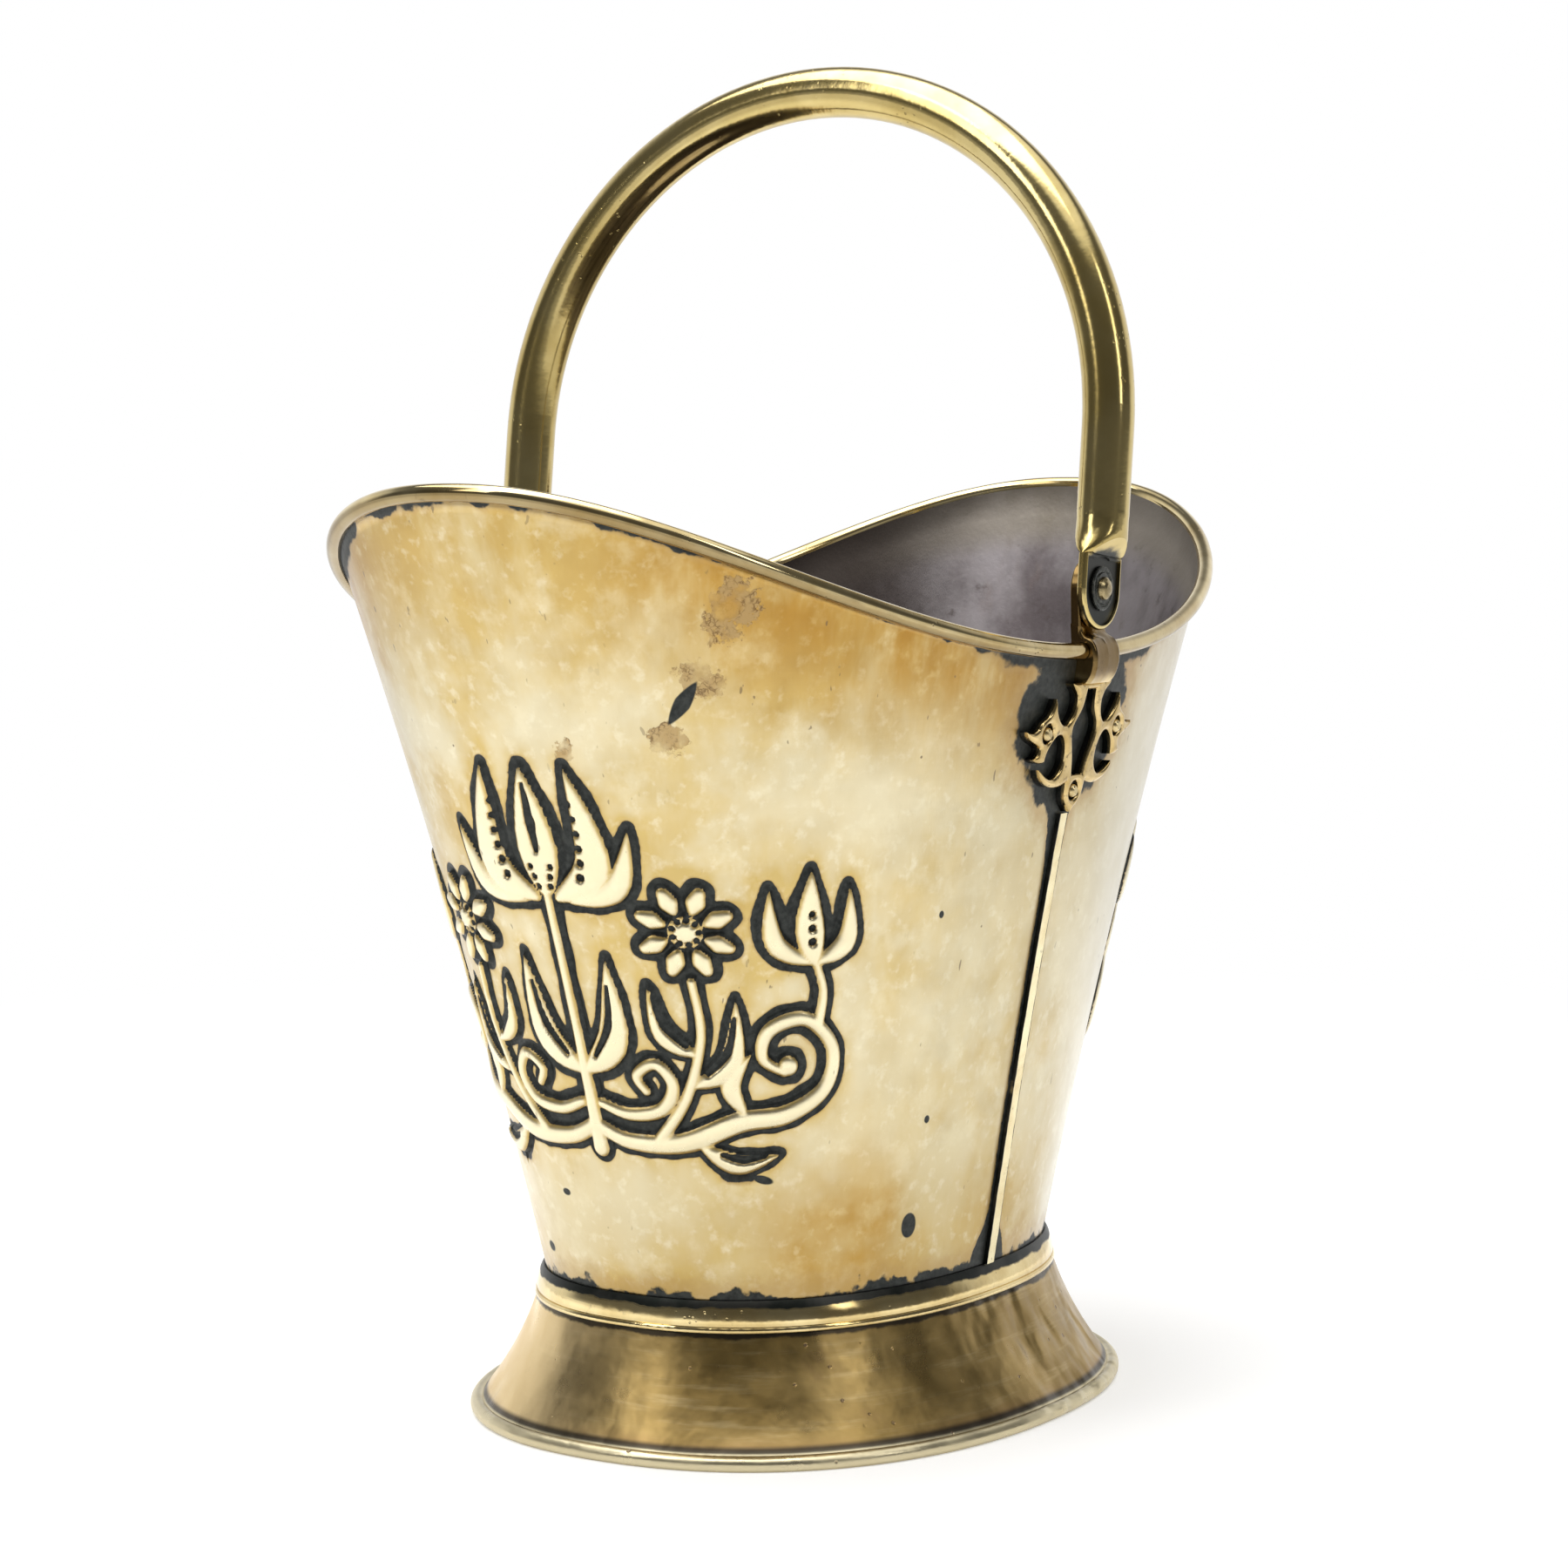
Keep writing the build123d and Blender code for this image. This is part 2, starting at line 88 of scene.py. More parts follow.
# Marks and stains on the front panel's wall: place, half extents, turn, soft edge, wobble, power
MARKS = (
    ((-0.1497, -0.0541, 0.2433), (0.0024, 0.0080), 0.62, 0.12, None, 1.35),
    ((-0.0468, -0.0709, 0.0699), (0.0030, 0.0042), 0.0, 0.15),
    ((-0.0961, -0.0471, 0.0903), (0.0032, 0.0014), 0.3, 0.3),
    ((-0.0948, 0.0357, 0.0605), (0.0022, 0.0018), 0.0, 0.4),
    ((-0.1084, 0.0199, 0.0821), (0.0018, 0.0012), 0.0, 0.4),
    ((-0.0569, -0.0893, 0.1727), (0.0010, 0.0012), 0.0, 0.3),
    ((-0.0467, -0.0778, 0.1050), (0.0011, 0.0013), 0.0, 0.3),
)
STAINS = (
    ((-0.1479, -0.0707, 0.2715), (0.0068, 0.0100), 0.5, 0.2),
    ((-0.1492, -0.0481, 0.2321), (0.0055, 0.0045), 0.0, 0.2),
    ((-0.1505, -0.0600, 0.2500), (0.0070, 0.0055), 0.0, 0.2),
    ((-0.1400, -0.0150, 0.2290), (0.0040, 0.0034), 0.0, 0.2),
)
MARK_DEPTH = 0.03
LOW_STAIN = (-0.070, -0.064, 0.070)

# Where masks begin and end, in metres: heights, or distances from the middle
PATCH_HALF, PATCH_UP, PATCH_DOWN = 0.035, 0.046, 0.035  # black patch round a lug
PLATE_TOP, NECK_FOOT = (0.2445, 0.2425), (0.2425, 0.2480)
STRIP_EDGE = 0.0020, 0.0024
COLLAR_SHOULDER, COLLAR_CREASE = (0.0466, 0.0474), (0.0398, 0.0395)
HEM, HEM_CREASE_TOP, HEM_CREASE_LOW = (0.0062, 0.0050), (0.0076, 0.0060), (0.0046, 0.0054)
FOOT_CREASE = 0.0374, 0.0384
RECESS_OUTER, RECESS_INNER = (0.1159, 0.1157), (0.1150, 0.1154)  # dished handle end
RECESS_SIDE, RECESS_END, RECESS_BEND = (0.0114, 0.0109), (0.0142, 0.0112), 0.0090

# Colours of the panels and the patina, linear
PALE, HONEY, AMBER = (0.67, 0.59, 0.39), (0.58, 0.425, 0.15), (0.77, 0.58, 0.23)
SLATE = (0.014, 0.017, 0.015), (0.042, 0.046, 0.041)
GRIME = (0.020, 0.023, 0.020), (0.05, 0.05, 0.045)
# darker brown of the shade masks: painted shade on the lugs' necks and the rim's right side, and the
# darker lower side of the rim
BROWN = (0.14, 0.085, 0.028)


# Node helpers

class Tree:
    """A node tree, with short calls for the nodes used here."""

    def __init__(self, tree):
        self.tree = tree
        tree.nodes.clear()

    def add(self, kind, **settings):
        node = self.tree.nodes.new(kind)
        for name, value in settings.items():
            setattr(node, name, value)
        return node

    def feed(self, socket, value):
        if isinstance(value, bpy.types.NodeSocket):
            self.tree.links.new(value, socket)
        elif isinstance(value, tuple) and len(value) == 3 and socket.type == "RGBA":
            socket.default_value = (*value, 1.0)
        else:
            socket.default_value = value

    def math(self, operation, a, b=0.0, clamp=False):
        node = self.add("ShaderNodeMath", operation=operation, use_clamp=clamp)
        self.feed(node.inputs[0], a)
        self.feed(node.inputs[1], b)
        return node.outputs[0]

    def times(self, a, b, clamp=False):
        return self.math("MULTIPLY", a, b, clamp)

    def plus(self, a, b):
        return self.math("ADD", a, b)

    def minus(self, a, b):
        return self.math("SUBTRACT", a, b)

    def divide(self, a, b):
        return self.math("DIVIDE", a, b)

    def power(self, a, b):
        return self.math("POWER", a, b)

    def absolute(self, a):
        return self.math("ABSOLUTE", a)

    def any(self, *masks):
        """The strongest of several masks."""
        out = masks[0]
        for mask in masks[1:]:
            out = self.math("MAXIMUM", out, mask)
        return out

    def vector(self, operation, a, b=(0.0, 0.0, 0.0)):
        node = self.add("ShaderNodeVectorMath", operation=operation)
        self.feed(node.inputs[0], a)
        self.feed(node.inputs[1], b)
        return node.outputs["Value"] if operation in ("LENGTH", "DOT_PRODUCT") else node.outputs[0]

    def split(self, vector):
        node = self.add("ShaderNodeSeparateXYZ")
        self.feed(node.inputs[0], vector)
        return node.outputs[0], node.outputs[1], node.outputs[2]

    def ramp(self, value, start, end, low=0.0, high=1.0):
        """Smooth step from low at start to high at end."""
        node = self.add("ShaderNodeMapRange", interpolation_type="SMOOTHSTEP")
        for socket, v in zip(node.inputs, (value, start, end, low, high)):
            self.feed(socket, v)
        return node.outputs[0]

    def mix(self, factor, a, b, blend="MIX"):
        node = self.add("ShaderNodeMix", data_type="RGBA", blend_type=blend)
        self.feed(node.inputs["Factor"], factor)
        self.feed(node.inputs[6], a)
        self.feed(node.inputs[7], b)
        return node.outputs[2]


class Shader(Tree):
    """A material's node tree round one principled shader."""

    def __init__(self, name):
        self.material = bpy.data.materials.new(name)
        self.material.use_nodes = True
        super().__init__(self.material.node_tree)
        self.output = self.add("ShaderNodeOutputMaterial")
        self.bsdf = self.add("ShaderNodeBsdfPrincipled")
        self.feed(self.output.inputs[0], self.bsdf.outputs[0])
        self.position = self.add("ShaderNodeTexCoord").outputs["Object"]

    def set(self, **values):
        for name, value in values.items():
            self.feed(self.bsdf.inputs[name.replace("_", " ")], value)

    def noise(self, scale, detail=3.0, roughness=0.5, stretch=None, shift=0.0):
        """Noise about 0.5; scale is in features per metre, stretch a per-axis factor."""
        where = self.position
        if stretch or shift:
            node = self.add("ShaderNodeMapping")
            self.feed(node.inputs["Vector"], where)
            node.inputs["Location"].default_value = (shift, shift * 0.7, shift * 1.3)
            node.inputs["Scale"].default_value = stretch or (1.0, 1.0, 1.0)
            where = node.outputs[0]
        node = self.add("ShaderNodeTexNoise")
        self.feed(node.inputs["Vector"], where)
        node.inputs["Scale"].default_value = scale
        node.inputs["Detail"].default_value = detail
        node.inputs["Roughness"].default_value = roughness
        return node.outputs["Fac"]

    def cells(self, scale, shift=0.0):
        """Distance to scattered points, for pits and specks, and a random colour for each."""
        node = self.add("ShaderNodeMapping")
        self.feed(node.inputs["Vector"], self.position)
        node.inputs["Location"].default_value = (shift, shift, shift)
        cell = self.add("ShaderNodeTexVoronoi", feature="F1")
        self.feed(cell.inputs["Vector"], node.outputs[0])
        cell.inputs["Scale"].default_value = scale
        return cell.outputs["Distance"], cell.outputs["Color"]

    def channel(self, colour, index):
        node = self.add("ShaderNodeSeparateColor")
        self.feed(node.inputs[0], colour)
        return node.outputs[index]

    def attribute(self, name):
        return self.add("ShaderNodeAttribute", attribute_name=name).outputs["Fac"]

    def axes(self):
        return self.split(self.position)

    def waver(self, amount, *noise, **settings):
        """Noise about zero, over a range of the given amount."""
        return self.times(self.minus(self.noise(*noise, **settings), 0.5), amount)

    def rim_line(self, x):
        """Height of the rim's centre line at x."""
        rise = self.times(self.power(self.divide(x, RIM_LIP_X), 2.0), RIM_LIP_Z - RIM_LUG_Z)
        return self.plus(rise, RIM_LUG_Z)

    def bump(self, height, distance, strength=1.0, under=None):
        node = self.add("ShaderNodeBump")
        self.feed(node.inputs["Height"], height)
        node.inputs["Distance"].default_value = distance
        node.inputs["Strength"].default_value = strength
        if under is not None:
            self.feed(node.inputs["Normal"], under)
        return node.outputs[0]


# Body shape, as in the CAD model

def body_axes(z, off=0.0):
    t = (z - BODY_Z) / HOLLOW_SPAN
    dip = HOLLOW * t * (t - 1)
    rise = z - BODY_Z
    return BODY_A + FLARE_A * rise + dip + off, BODY_B + FLARE_B * rise + 0.6 * dip + off


def oval_xy(a, b, angle):
    c, s = np.cos(angle), np.sin(angle)
    x = a * np.sign(c) * np.abs(c) ** (2 / OVAL_POWER)
    y = b * np.sign(s) * np.abs(s) ** (2 / OVAL_POWER)
    return x, y


def wall_point(angle, z, off=0.0):
    a, b = body_axes(z, off)
    x, y = oval_xy(a, b, angle)
    return np.stack([x, y, z + 0 * x], -1)


def wall_normal(angle, z):
    """Outward unit normal of the wall."""
    a, b = body_axes(z)
    x, y = oval_xy(a, b, angle)
    n = OVAL_POWER
    gx = np.sign(x) * (np.abs(x) / a) ** (n - 1) / a
    gy = np.sign(y) * (np.abs(y) / b) ** (n - 1) / b
    step = 0.5 * MM
    a2, b2 = body_axes(z + step)
    gz = -(gx * x * (a2 - a) / a + gy * y * (b2 - b) / b) / step
    normal = np.stack([gx, gy, gz], -1)
    return normal / np.linalg.norm(normal, axis=-1, keepdims=True)


def rim_height(x):
    return RIM_LUG_Z + (RIM_LIP_Z - RIM_LUG_Z) * (x / RIM_LIP_X) ** 2


def rim_centre(angle):
    z = np.full_like(angle, RIM_LIP_Z)
    for _ in range(40):
        x, y = oval_xy(*body_axes(z, RIM_ROLL_OUT), angle)
        z = rim_height(x)
    return np.stack([x, y, z], -1)


# The embossed border: generic flowers and scrolls on one stem, the same on both sides of the
# middle. Places are in millimetres, along the wall at mid height and up from the floor.

def curve_points(points, count=24):
    """Smooth run through a few points, Catmull-Rom."""
    p = np.array([points[0]] + list(points) + [points[-1]], float)
    out = []
    for i in range(len(p) - 3):
        t = np.linspace(0, 1, max(3, count // (len(p) - 3)), endpoint=False)[:, None]
        a, b, c, d = p[i:i + 4]
        out.append(0.5 * (2 * b + (c - a) * t + (2 * a - 5 * b + 4 * c - d) * t**2
                          + (3 * b - a - 3 * c + d) * t**3))
    return np.vstack(out + [p[-2:-1]])


def stroke_depth(s, z, points, radii, count=24):
    """How deep a place lies inside a stroke with changing width, negative outside."""
    run = curve_points(points, count)
    width = np.interp(np.linspace(0, 1, len(run)), np.linspace(0, 1, len(radii)), radii)
    best = np.full(s.shape, -1e3)
    for (s0, z0), (s1, z1), r0, r1 in zip(run[:-1], run[1:], width[:-1], width[1:]):
        ds, dz = s1 - s0, z1 - z0
        t = np.clip(((s - s0) * ds + (z - z0) * dz) / max(ds * ds + dz * dz, 1e-9), 0, 1)
        gap = np.hypot(s - s0 - ds * t, z - z0 - dz * t)
        best = np.maximum(best, r0 + (r1 - r0) * t - gap)
    return best


def leaf_depth(s, z, start, bend, end, width):
    taper = [0.35, 0.62, 0.88, 1.0, 0.92, 0.68, 0.36, 0.05]
    return stroke_depth(s, z, [start, bend, end], [width * t for t in taper], 16)


def disc_depth(s, z, centre, radius):
    return radius - np.hypot(s - centre[0], z - centre[1])


def rosette_depths(s, z, centre, inner, outer, width, petals, turn=0.0):
    """Petals around a domed middle."""
    depths = [disc_depth(s, z, centre, inner * 0.82)]
    for i in range(petals):
        angle = turn + 2 * math.pi * i / petals
        c, t = math.cos(angle), math.sin(angle)
        tip = (centre[0] + outer * c, centre[1] + outer * t)
        root = (centre[0] + inner * c, centre[1] + inner * t)
        middle = ((tip[0] + root[0]) / 2, (tip[1] + root[1]) / 2)
        depths.append(stroke_depth(s, z, [root, middle, tip], [width * 0.5, width, width * 0.7], 6))
    return depths


STROKES = (  # points, half widths along them, fineness
    # large scroll and its volute, then the small one
    ([(0, 108), (12, 103), (32, 103), (52, 110), (68, 112), (82, 120), (85, 133), (76, 143),
      (64, 140), (61, 131), (68, 126)], [3.0, 3.6, 4.2, 3.9, 3.2, 3.0, 3.1, 2.7, 2.2], 70),
    ([(4, 115), (14, 112), (26, 114), (31, 122), (26, 129), (19, 125), (21.5, 120)],
     [2.4, 3.0, 2.8, 2.5, 2.2], 40),
    # stems: in the middle, of the flower and of the bud
    ([(0, 100), (0, 140), (0, 186)], [3.8, 2.4, 2.0], 10),
    ([(24, 104), (35, 118), (42, 138), (41, 156)], [2.8, 2.3, 2.0], 20),
    ([(80, 141), (82, 152), (79, 163)], [2.6, 2.1, 1.9], 10),
)
VOLUTE_END = (69.5, 128), 3.9
LEAVES = (  # start, bend, end, half width
    ((38, 102), (50, 96), (66, 99), 4.2),
    ((54, 113), (50, 122), (58, 133), 4.0),
    # on the middle stem, and its tulip
    ((1.5, 126), (13, 137), (15, 163), 6.0),
    ((0, 184), (0, 200), (0, 224), 7.4),
    ((4, 182), (17, 193), (13.5, 224), 6.2),
    ((8, 181), (23, 186), (29, 205), 4.4),
    # on the flower's stem
    ((39, 122), (51, 130), (54, 151), 4.6),
    ((40, 132), (30, 139), (27, 155), 4.0),
    # the bud
    ((79, 161), (78, 173), (79, 191), 5.4),
    ((80, 161), (90, 168), (91, 186), 4.0),
    ((78, 161), (67, 168), (66, 186), 4.0),
)
FLOWER = (41, 172)
FLOWER_INNER, FLOWER_OUTER, PETAL_WIDTH, PETALS, FLOWER_TURN = 7.0, 13.4, 3.5, 8, 0.39
VEINS = (  # points, half width in the middle
    ([(0, 197), (0, 206), (0, 218)], 1.5),
    ([(5.5, 131), (12, 141), (14, 154)], 1.3),
    ([(43, 126), (50, 133), (53, 144)], 1.1),
    ([(37.0, 135), (30.6, 142), (28.2, 151)], 1.0),
    ([(45, 99.4), (52, 97.6), (60, 98.6)], 1.1),
)
DOT_RING, DOTS, DOT_R = 3.9, 9, 0.85


def border_depths(s, z):
    """One depth map per raised form, for the half with s above 0."""
    forms = [stroke_depth(s, z, *stroke) for stroke in STROKES]
    forms += [leaf_depth(s, z, *leaf) for leaf in LEAVES]
    forms.append(disc_depth(s, z, *VOLUTE_END))
    return forms + rosette_depths(s, z, FLOWER, FLOWER_INNER, FLOWER_OUTER, PETAL_WIDTH, PETALS,
                                  FLOWER_TURN)


def vein_depths(s, z):
    """Cuts within the raised forms: leaf veins, and dots in the flower, the tulip and the bud."""
    cuts = [stroke_depth(s, z, points, [0.6, width, 0.5], 8) for points, width in VEINS]
    for i in range(DOTS):
        angle = 2 * math.pi * i / DOTS
        dot = (FLOWER[0] + DOT_RING * math.cos(angle), FLOWER[1] + DOT_RING * math.sin(angle))
        cuts.append(disc_depth(s, z, dot, DOT_R))
    for i in range(6):
        cuts.append(disc_depth(s, z, (12.6 + 0.95 * i - 0.17 * i * i, 189 + 4.6 * i), 1.15 - 0.09 * i))
    for i in range(3):
        cuts.append(disc_depth(s, z, (3.4 - 0.7 * i, 192 - 3.2 * i), DOT_R))
        cuts.append(disc_depth(s, z, (78.6, 168 + 4.4 * i), 1.15 - 0.12 * i))
    return cuts


def border_relief(s, z):
    """Height in millimetres, darkness in the cuts, and the warm halo, for a grid of places."""
    half = np.abs(s)
    height = np.zeros(s.shape)
    depth = np.full(s.shape, -1e3)
    for form in border_depths(half, z):
        depth = np.maximum(depth, form)
        inside = np.clip(form, 0, None)
        height = np.maximum(height, RELIEF_H * (1 - np.exp(-inside / RELIEF_ROUND)))
    veins = np.full(s.shape, -1e3)
    for cut in vein_depths(half, z):
        veins = np.maximum(veins, cut)
    height = height * np.clip(0.45 - veins / 0.9, 0.15, 1)
    heads = ((0, 200, 22), (41, 172, 16), (78, 172, 15), (6, 128, 14), (72, 126, 14))
    width = 0.62 + 0.16 * np.sin(0.31 * half + 0.17 * z) * np.sin(0.23 * z - 0.4 * half + 1)
    for s0, z0, reach in heads:
        width = width + 0.5 * np.exp(-((half - s0) ** 2 + (z - z0) ** 2) / reach**2)
    outside = np.clip(-depth, 0, None) / np.clip(width, 0.5, 1.2)
    groove = np.clip(1 - outside / GROOVE_W, 0, 1) ** 1.5 * (depth < 0)
    height = height - GROOVE_D * groove
    dark = np.clip(1.35 - outside / 2.9, 0, 1) * np.clip(1.4 - np.clip(height, 0, None) / 0.85, 0, 1)
    dark = np.maximum(dark, np.clip(0.55 + veins / 0.9, 0, 1))
    halo = np.exp(-np.clip(outside - 2.2, 0, None) / 4.5)
    return height, dark, halo


# Body panels: dense grid on the outside for the relief, the rolled rim, and the inside

def spaced(start, end, step):
    return np.linspace(start, end, max(2, int(round(abs(end - start) / step)) + 1))


def panel_columns():
    """Angles from the lip, and the run along the wall at mid height in millimetres."""
    fine = np.linspace(-math.pi / 2, math.pi / 2, 8001)
    points = wall_point(fine, np.full_like(fine, BORDER_MID_Z))
    run = np.r_[0, np.cumsum(np.linalg.norm(np.diff(points, axis=0), axis=1))]
    run = (run - run[len(run) // 2]) / MM
    end = run[-1]
    s = np.r_[spaced(-end, -BORDER_HALF, COARSE)[:-1], spaced(-BORDER_HALF, BORDER_HALF, GRID),
              spaced(BORDER_HALF, end, COARSE)[1:]]
    return np.interp(s, run, fine), s


def solve_height(angle, centre, off, reach):
    """Height at which the wall comes within reach of the rim's centre."""
    low = centre[:, 2] - 8 * MM
    high = centre[:, 2] - 0.2 * MM
    for _ in range(30):
        mid = (low + high) / 2
        near = np.linalg.norm(wall_point(angle, mid, off) - centre, axis=-1) < reach
        high = np.where(near, mid, high)
        low = np.where(near, low, mid)
    return (low + high) / 2


def mesh_from_rows(name, rows, row_material, materials, attributes):
    """Mesh from rows of points; row_material gives the slot of each band between rows."""
    count, width = len(rows), rows[0].shape[0]
    vertices = np.concatenate(rows)
    i = np.arange(count - 1)[:, None] * width
    j = np.arange(width - 1)[None, :]
    first = (i + j).ravel()
    faces = np.stack([first, first + 1, first + 1 + width, first + width], -1)
    mesh = bpy.data.meshes.new(name)
    mesh.vertices.add(len(vertices))
    mesh.vertices.foreach_set("co", vertices.ravel())
    mesh.loops.add(faces.size)
    mesh.loops.foreach_set("vertex_index", faces.ravel().astype(np.int32))
    mesh.polygons.add(len(faces))
    mesh.polygons.foreach_set("loop_start", (np.arange(len(faces)) * 4).astype(np.int32))
    mesh.polygons.foreach_set("use_smooth", np.ones(len(faces), bool))
    slots = np.repeat(np.array(row_material), width - 1)
    mesh.polygons.foreach_set("material_index", slots.astype(np.int32))
    for key, values in attributes.items():
        layer = mesh.attributes.new(key, "FLOAT", "POINT")
        layer.data.foreach_set("value", values.astype(np.float32))
    mesh.update()
    mesh.validate()
    obj = bpy.data.objects.new(name, mesh)
    bpy.context.scene.collection.objects.link(obj)
    for material in materials:
        mesh.materials.append(material)
    return obj


def build_panel(name, facing, materials):
    """One body panel; facing is -1 for the front lip and 1 for the back lip."""
    from_lip, s = panel_columns()
    middle = math.pi if facing < 0 else 0.0
    angle = middle + from_lip
    gap = np.where(np.abs(np.abs(from_lip) - math.pi / 2) < 1e-6, SEAM_GAP, 0.0)
    centre = rim_centre(angle)
    tuck = solve_height(angle, centre, 0.0, RIM_ROLL_R)
    inner_end = solve_height(angle, centre, -SHEET, RIM_ROLL_R)
    along = np.gradient(centre, axis=0)
    along /= np.linalg.norm(along, axis=-1, keepdims=True)
    out = wall_normal(angle, centre[:, 2])
    out[:, 2] = 0
    out -= along * np.sum(out * along, -1, keepdims=True)
    out /= np.linalg.norm(out, axis=-1, keepdims=True)
    up = np.cross(out, along)
    up *= np.sign(up[:, 2:3])

    low = spaced(PANEL_LOW_Z / MM, BORDER_LOW, COARSE_LOW)[:-1]
    level = np.r_[low, spaced(BORDER_LOW, BORDER_HIGH, GRID)] * MM
    rows, bands, dark_rows, halo_rows, raised_rows = [], [], [], [], []

    def add_row(points, slot, dark=None, halo=None, height=None):
        points[:, 0] = facing * np.maximum(facing * points[:, 0], gap)
        rows.append(points)
        bands.append(slot)
        dark_rows.append(np.zeros(len(s)) if dark is None else dark)
        halo_rows.append(np.zeros(len(s)) if halo is None else halo)
        raised_rows.append(np.zeros(len(s)) if height is None else height / RELIEF_H)

    for z in level:
        zs = np.full(len(s), z)
        height, dark, halo = border_relief(s, zs / MM)
        points = wall_point(angle, zs) + wall_normal(angle, zs) * height[:, None] * MM
        add_row(points, 0, dark, halo, height)
    for t in np.linspace(0, 1, TOP_ROWS)[1:]:
        zs = level[-1] + (tuck - level[-1]) * t
        _, dark, halo = border_relief(s, zs / MM)
        add_row(wall_point(angle, zs), 0, dark, halo)
    wall_top = wall_point(angle, tuck) - centre
    wall_in = wall_point(angle, inner_end, -SHEET) - centre
    a0 = np.arctan2(np.sum(wall_top * up, -1), np.sum(wall_top * out, -1))
    a1 = np.arctan2(np.sum(wall_in * up, -1), np.sum(wall_in * out, -1)) + 2 * math.pi
    a1 = np.where(a1 - a0 > 2 * math.pi, a1 - 2 * math.pi, a1)
    for t in np.linspace(0, 1, ROLL_ROWS)[1:-1]:
        a = a0 + (a1 - a0) * t
        ring = out * np.cos(a)[:, None] + up * np.sin(a)[:, None]
        add_row(centre + ring * RIM_ROLL_R, 1)
    for t in np.linspace(0, 1, INSIDE_ROWS):
        zs = inner_end + (PANEL_LOW_Z - inner_end) * t
        add_row(wall_point(angle, zs, -SHEET), 2)
    add_row(wall_point(angle, np.full(len(s), PANEL_LOW_Z)), 2)
    attributes = {"cut": np.concatenate(dark_rows), "halo": np.concatenate(halo_rows),
                  "raised": np.concatenate(raised_rows)}
    return mesh_from_rows(name, rows, bands[:-1], materials, attributes)


# Openwork of the lugs: a rounded top over the flat face of each bar

def outer_y(x, z, off):
    """Distance of the wall from the long axis, off metres outside it."""
    a, b = body_axes(z, off)
    return b * np.clip(1 - (np.abs(x) / a) ** OVAL_POWER, 0, 1) ** (1 / OVAL_POWER)


def plate_outline(obj):
    """Edges round the plate's outer face, as (x, z) pairs in metres, from the CAD mesh."""
    mesh = obj.data
    points = np.empty(len(mesh.vertices) * 3)
    mesh.vertices.foreach_get("co", points)
    turn = np.array(obj.matrix_world)
    points = points.reshape(-1, 3) @ turn[:3, :3].T + turn[:3, 3]
    mesh.calc_loop_triangles()
    triangles = np.empty(len(mesh.loop_triangles) * 3, np.int32)
    mesh.loop_triangles.foreach_get("vertices", triangles)
    x, y, z = points.T
    flush = np.abs(np.abs(y) - outer_y(x, z, LUG_PLATE)) < 0.1 * MM
    flush &= (z < PLATE_TOP_Z + 0.3 * MM) & (np.abs(y) > 0.05)
    face = triangles.reshape(-1, 3)
    face = face[flush[face].all(-1)]
    keys = np.round(points[:, [0, 2]] / (0.01 * MM)).astype(int)
    uses = {}
    for corner in face:
        for i in range(3):
            p, q = tuple(keys[corner[i]]), tuple(keys[corner[(i + 1) % 3]])
            if p != q:
                edge = min(p, q), max(p, q)
                uses[edge] = uses.get(edge, 0) + 1
    return np.array([edge for edge, count in uses.items() if count == 1], float) * 0.01 * MM


def build_scroll(name, node, side, material):
    """Rounded bars over a lug's plate; side is -1 for the right lug and 1 for the left."""
    edges = plate_outline(nodes[node])
    p, q = edges[:, 0], edges[:, 1]
    low, high = edges.min((0, 1)) - 0.6 * MM, edges.max((0, 1)) + 0.6 * MM
    xs, zs = np.arange(low[0], high[0], SCROLL_GRID), np.arange(low[1], high[1], SCROLL_GRID)
    x, z = (grid.ravel() for grid in np.meshgrid(xs, zs))
    near, foot_x, foot_z = np.full(len(x), 1.0), x.copy(), z.copy()
    crossings = np.zeros(len(x), int)
    for (x0, z0), (x1, z1) in zip(p, q):
        dx, dz = x1 - x0, z1 - z0
        t = np.clip(((x - x0) * dx + (z - z0) * dz) / (dx * dx + dz * dz), 0, 1)
        px, pz = x0 + t * dx, z0 + t * dz
        gap = np.hypot(x - px, z - pz)
        closer = gap < near
        near, foot_x, foot_z = (np.where(closer, new, old)
                                for new, old in ((gap, near), (px, foot_x), (pz, foot_z)))
        if dz:
            crossings += ((z0 > z) != (z1 > z)) & (x < x0 + dx * (z - z0) / dz)
    inside = crossings % 2 == 1
    x, z = np.where(inside, x, foot_x), np.where(inside, z, foot_z)
    depth = np.clip(np.where(inside, near, 0) / SCROLL_ROUND, 0, 1)
    height = SCROLL_H * np.sqrt(1 - (1 - depth) ** 2) - 0.04 * MM
    points = np.stack([x, side * outer_y(x, z, LUG_PLATE + height), z], -1)
    i = np.arange(len(zs) - 1)[:, None] * len(xs)
    first = (i + np.arange(len(xs) - 1)[None, :]).ravel()
    faces = np.stack([first, first + 1, first + 1 + len(xs), first + len(xs)], -1)
    faces = faces[inside[faces].any(-1)]
    used = np.unique(faces)
    order = np.full(len(x), -1)
    order[used] = np.arange(len(used))
    mesh = bpy.data.meshes.new(name)
    mesh.from_pydata(points[used].tolist(), [], order[faces].tolist())
    mesh.shade_smooth()
    mesh.materials.append(material)
    obj = bpy.data.objects.new(name, mesh)
    bpy.context.scene.collection.objects.link(obj)
    return obj


# Materials

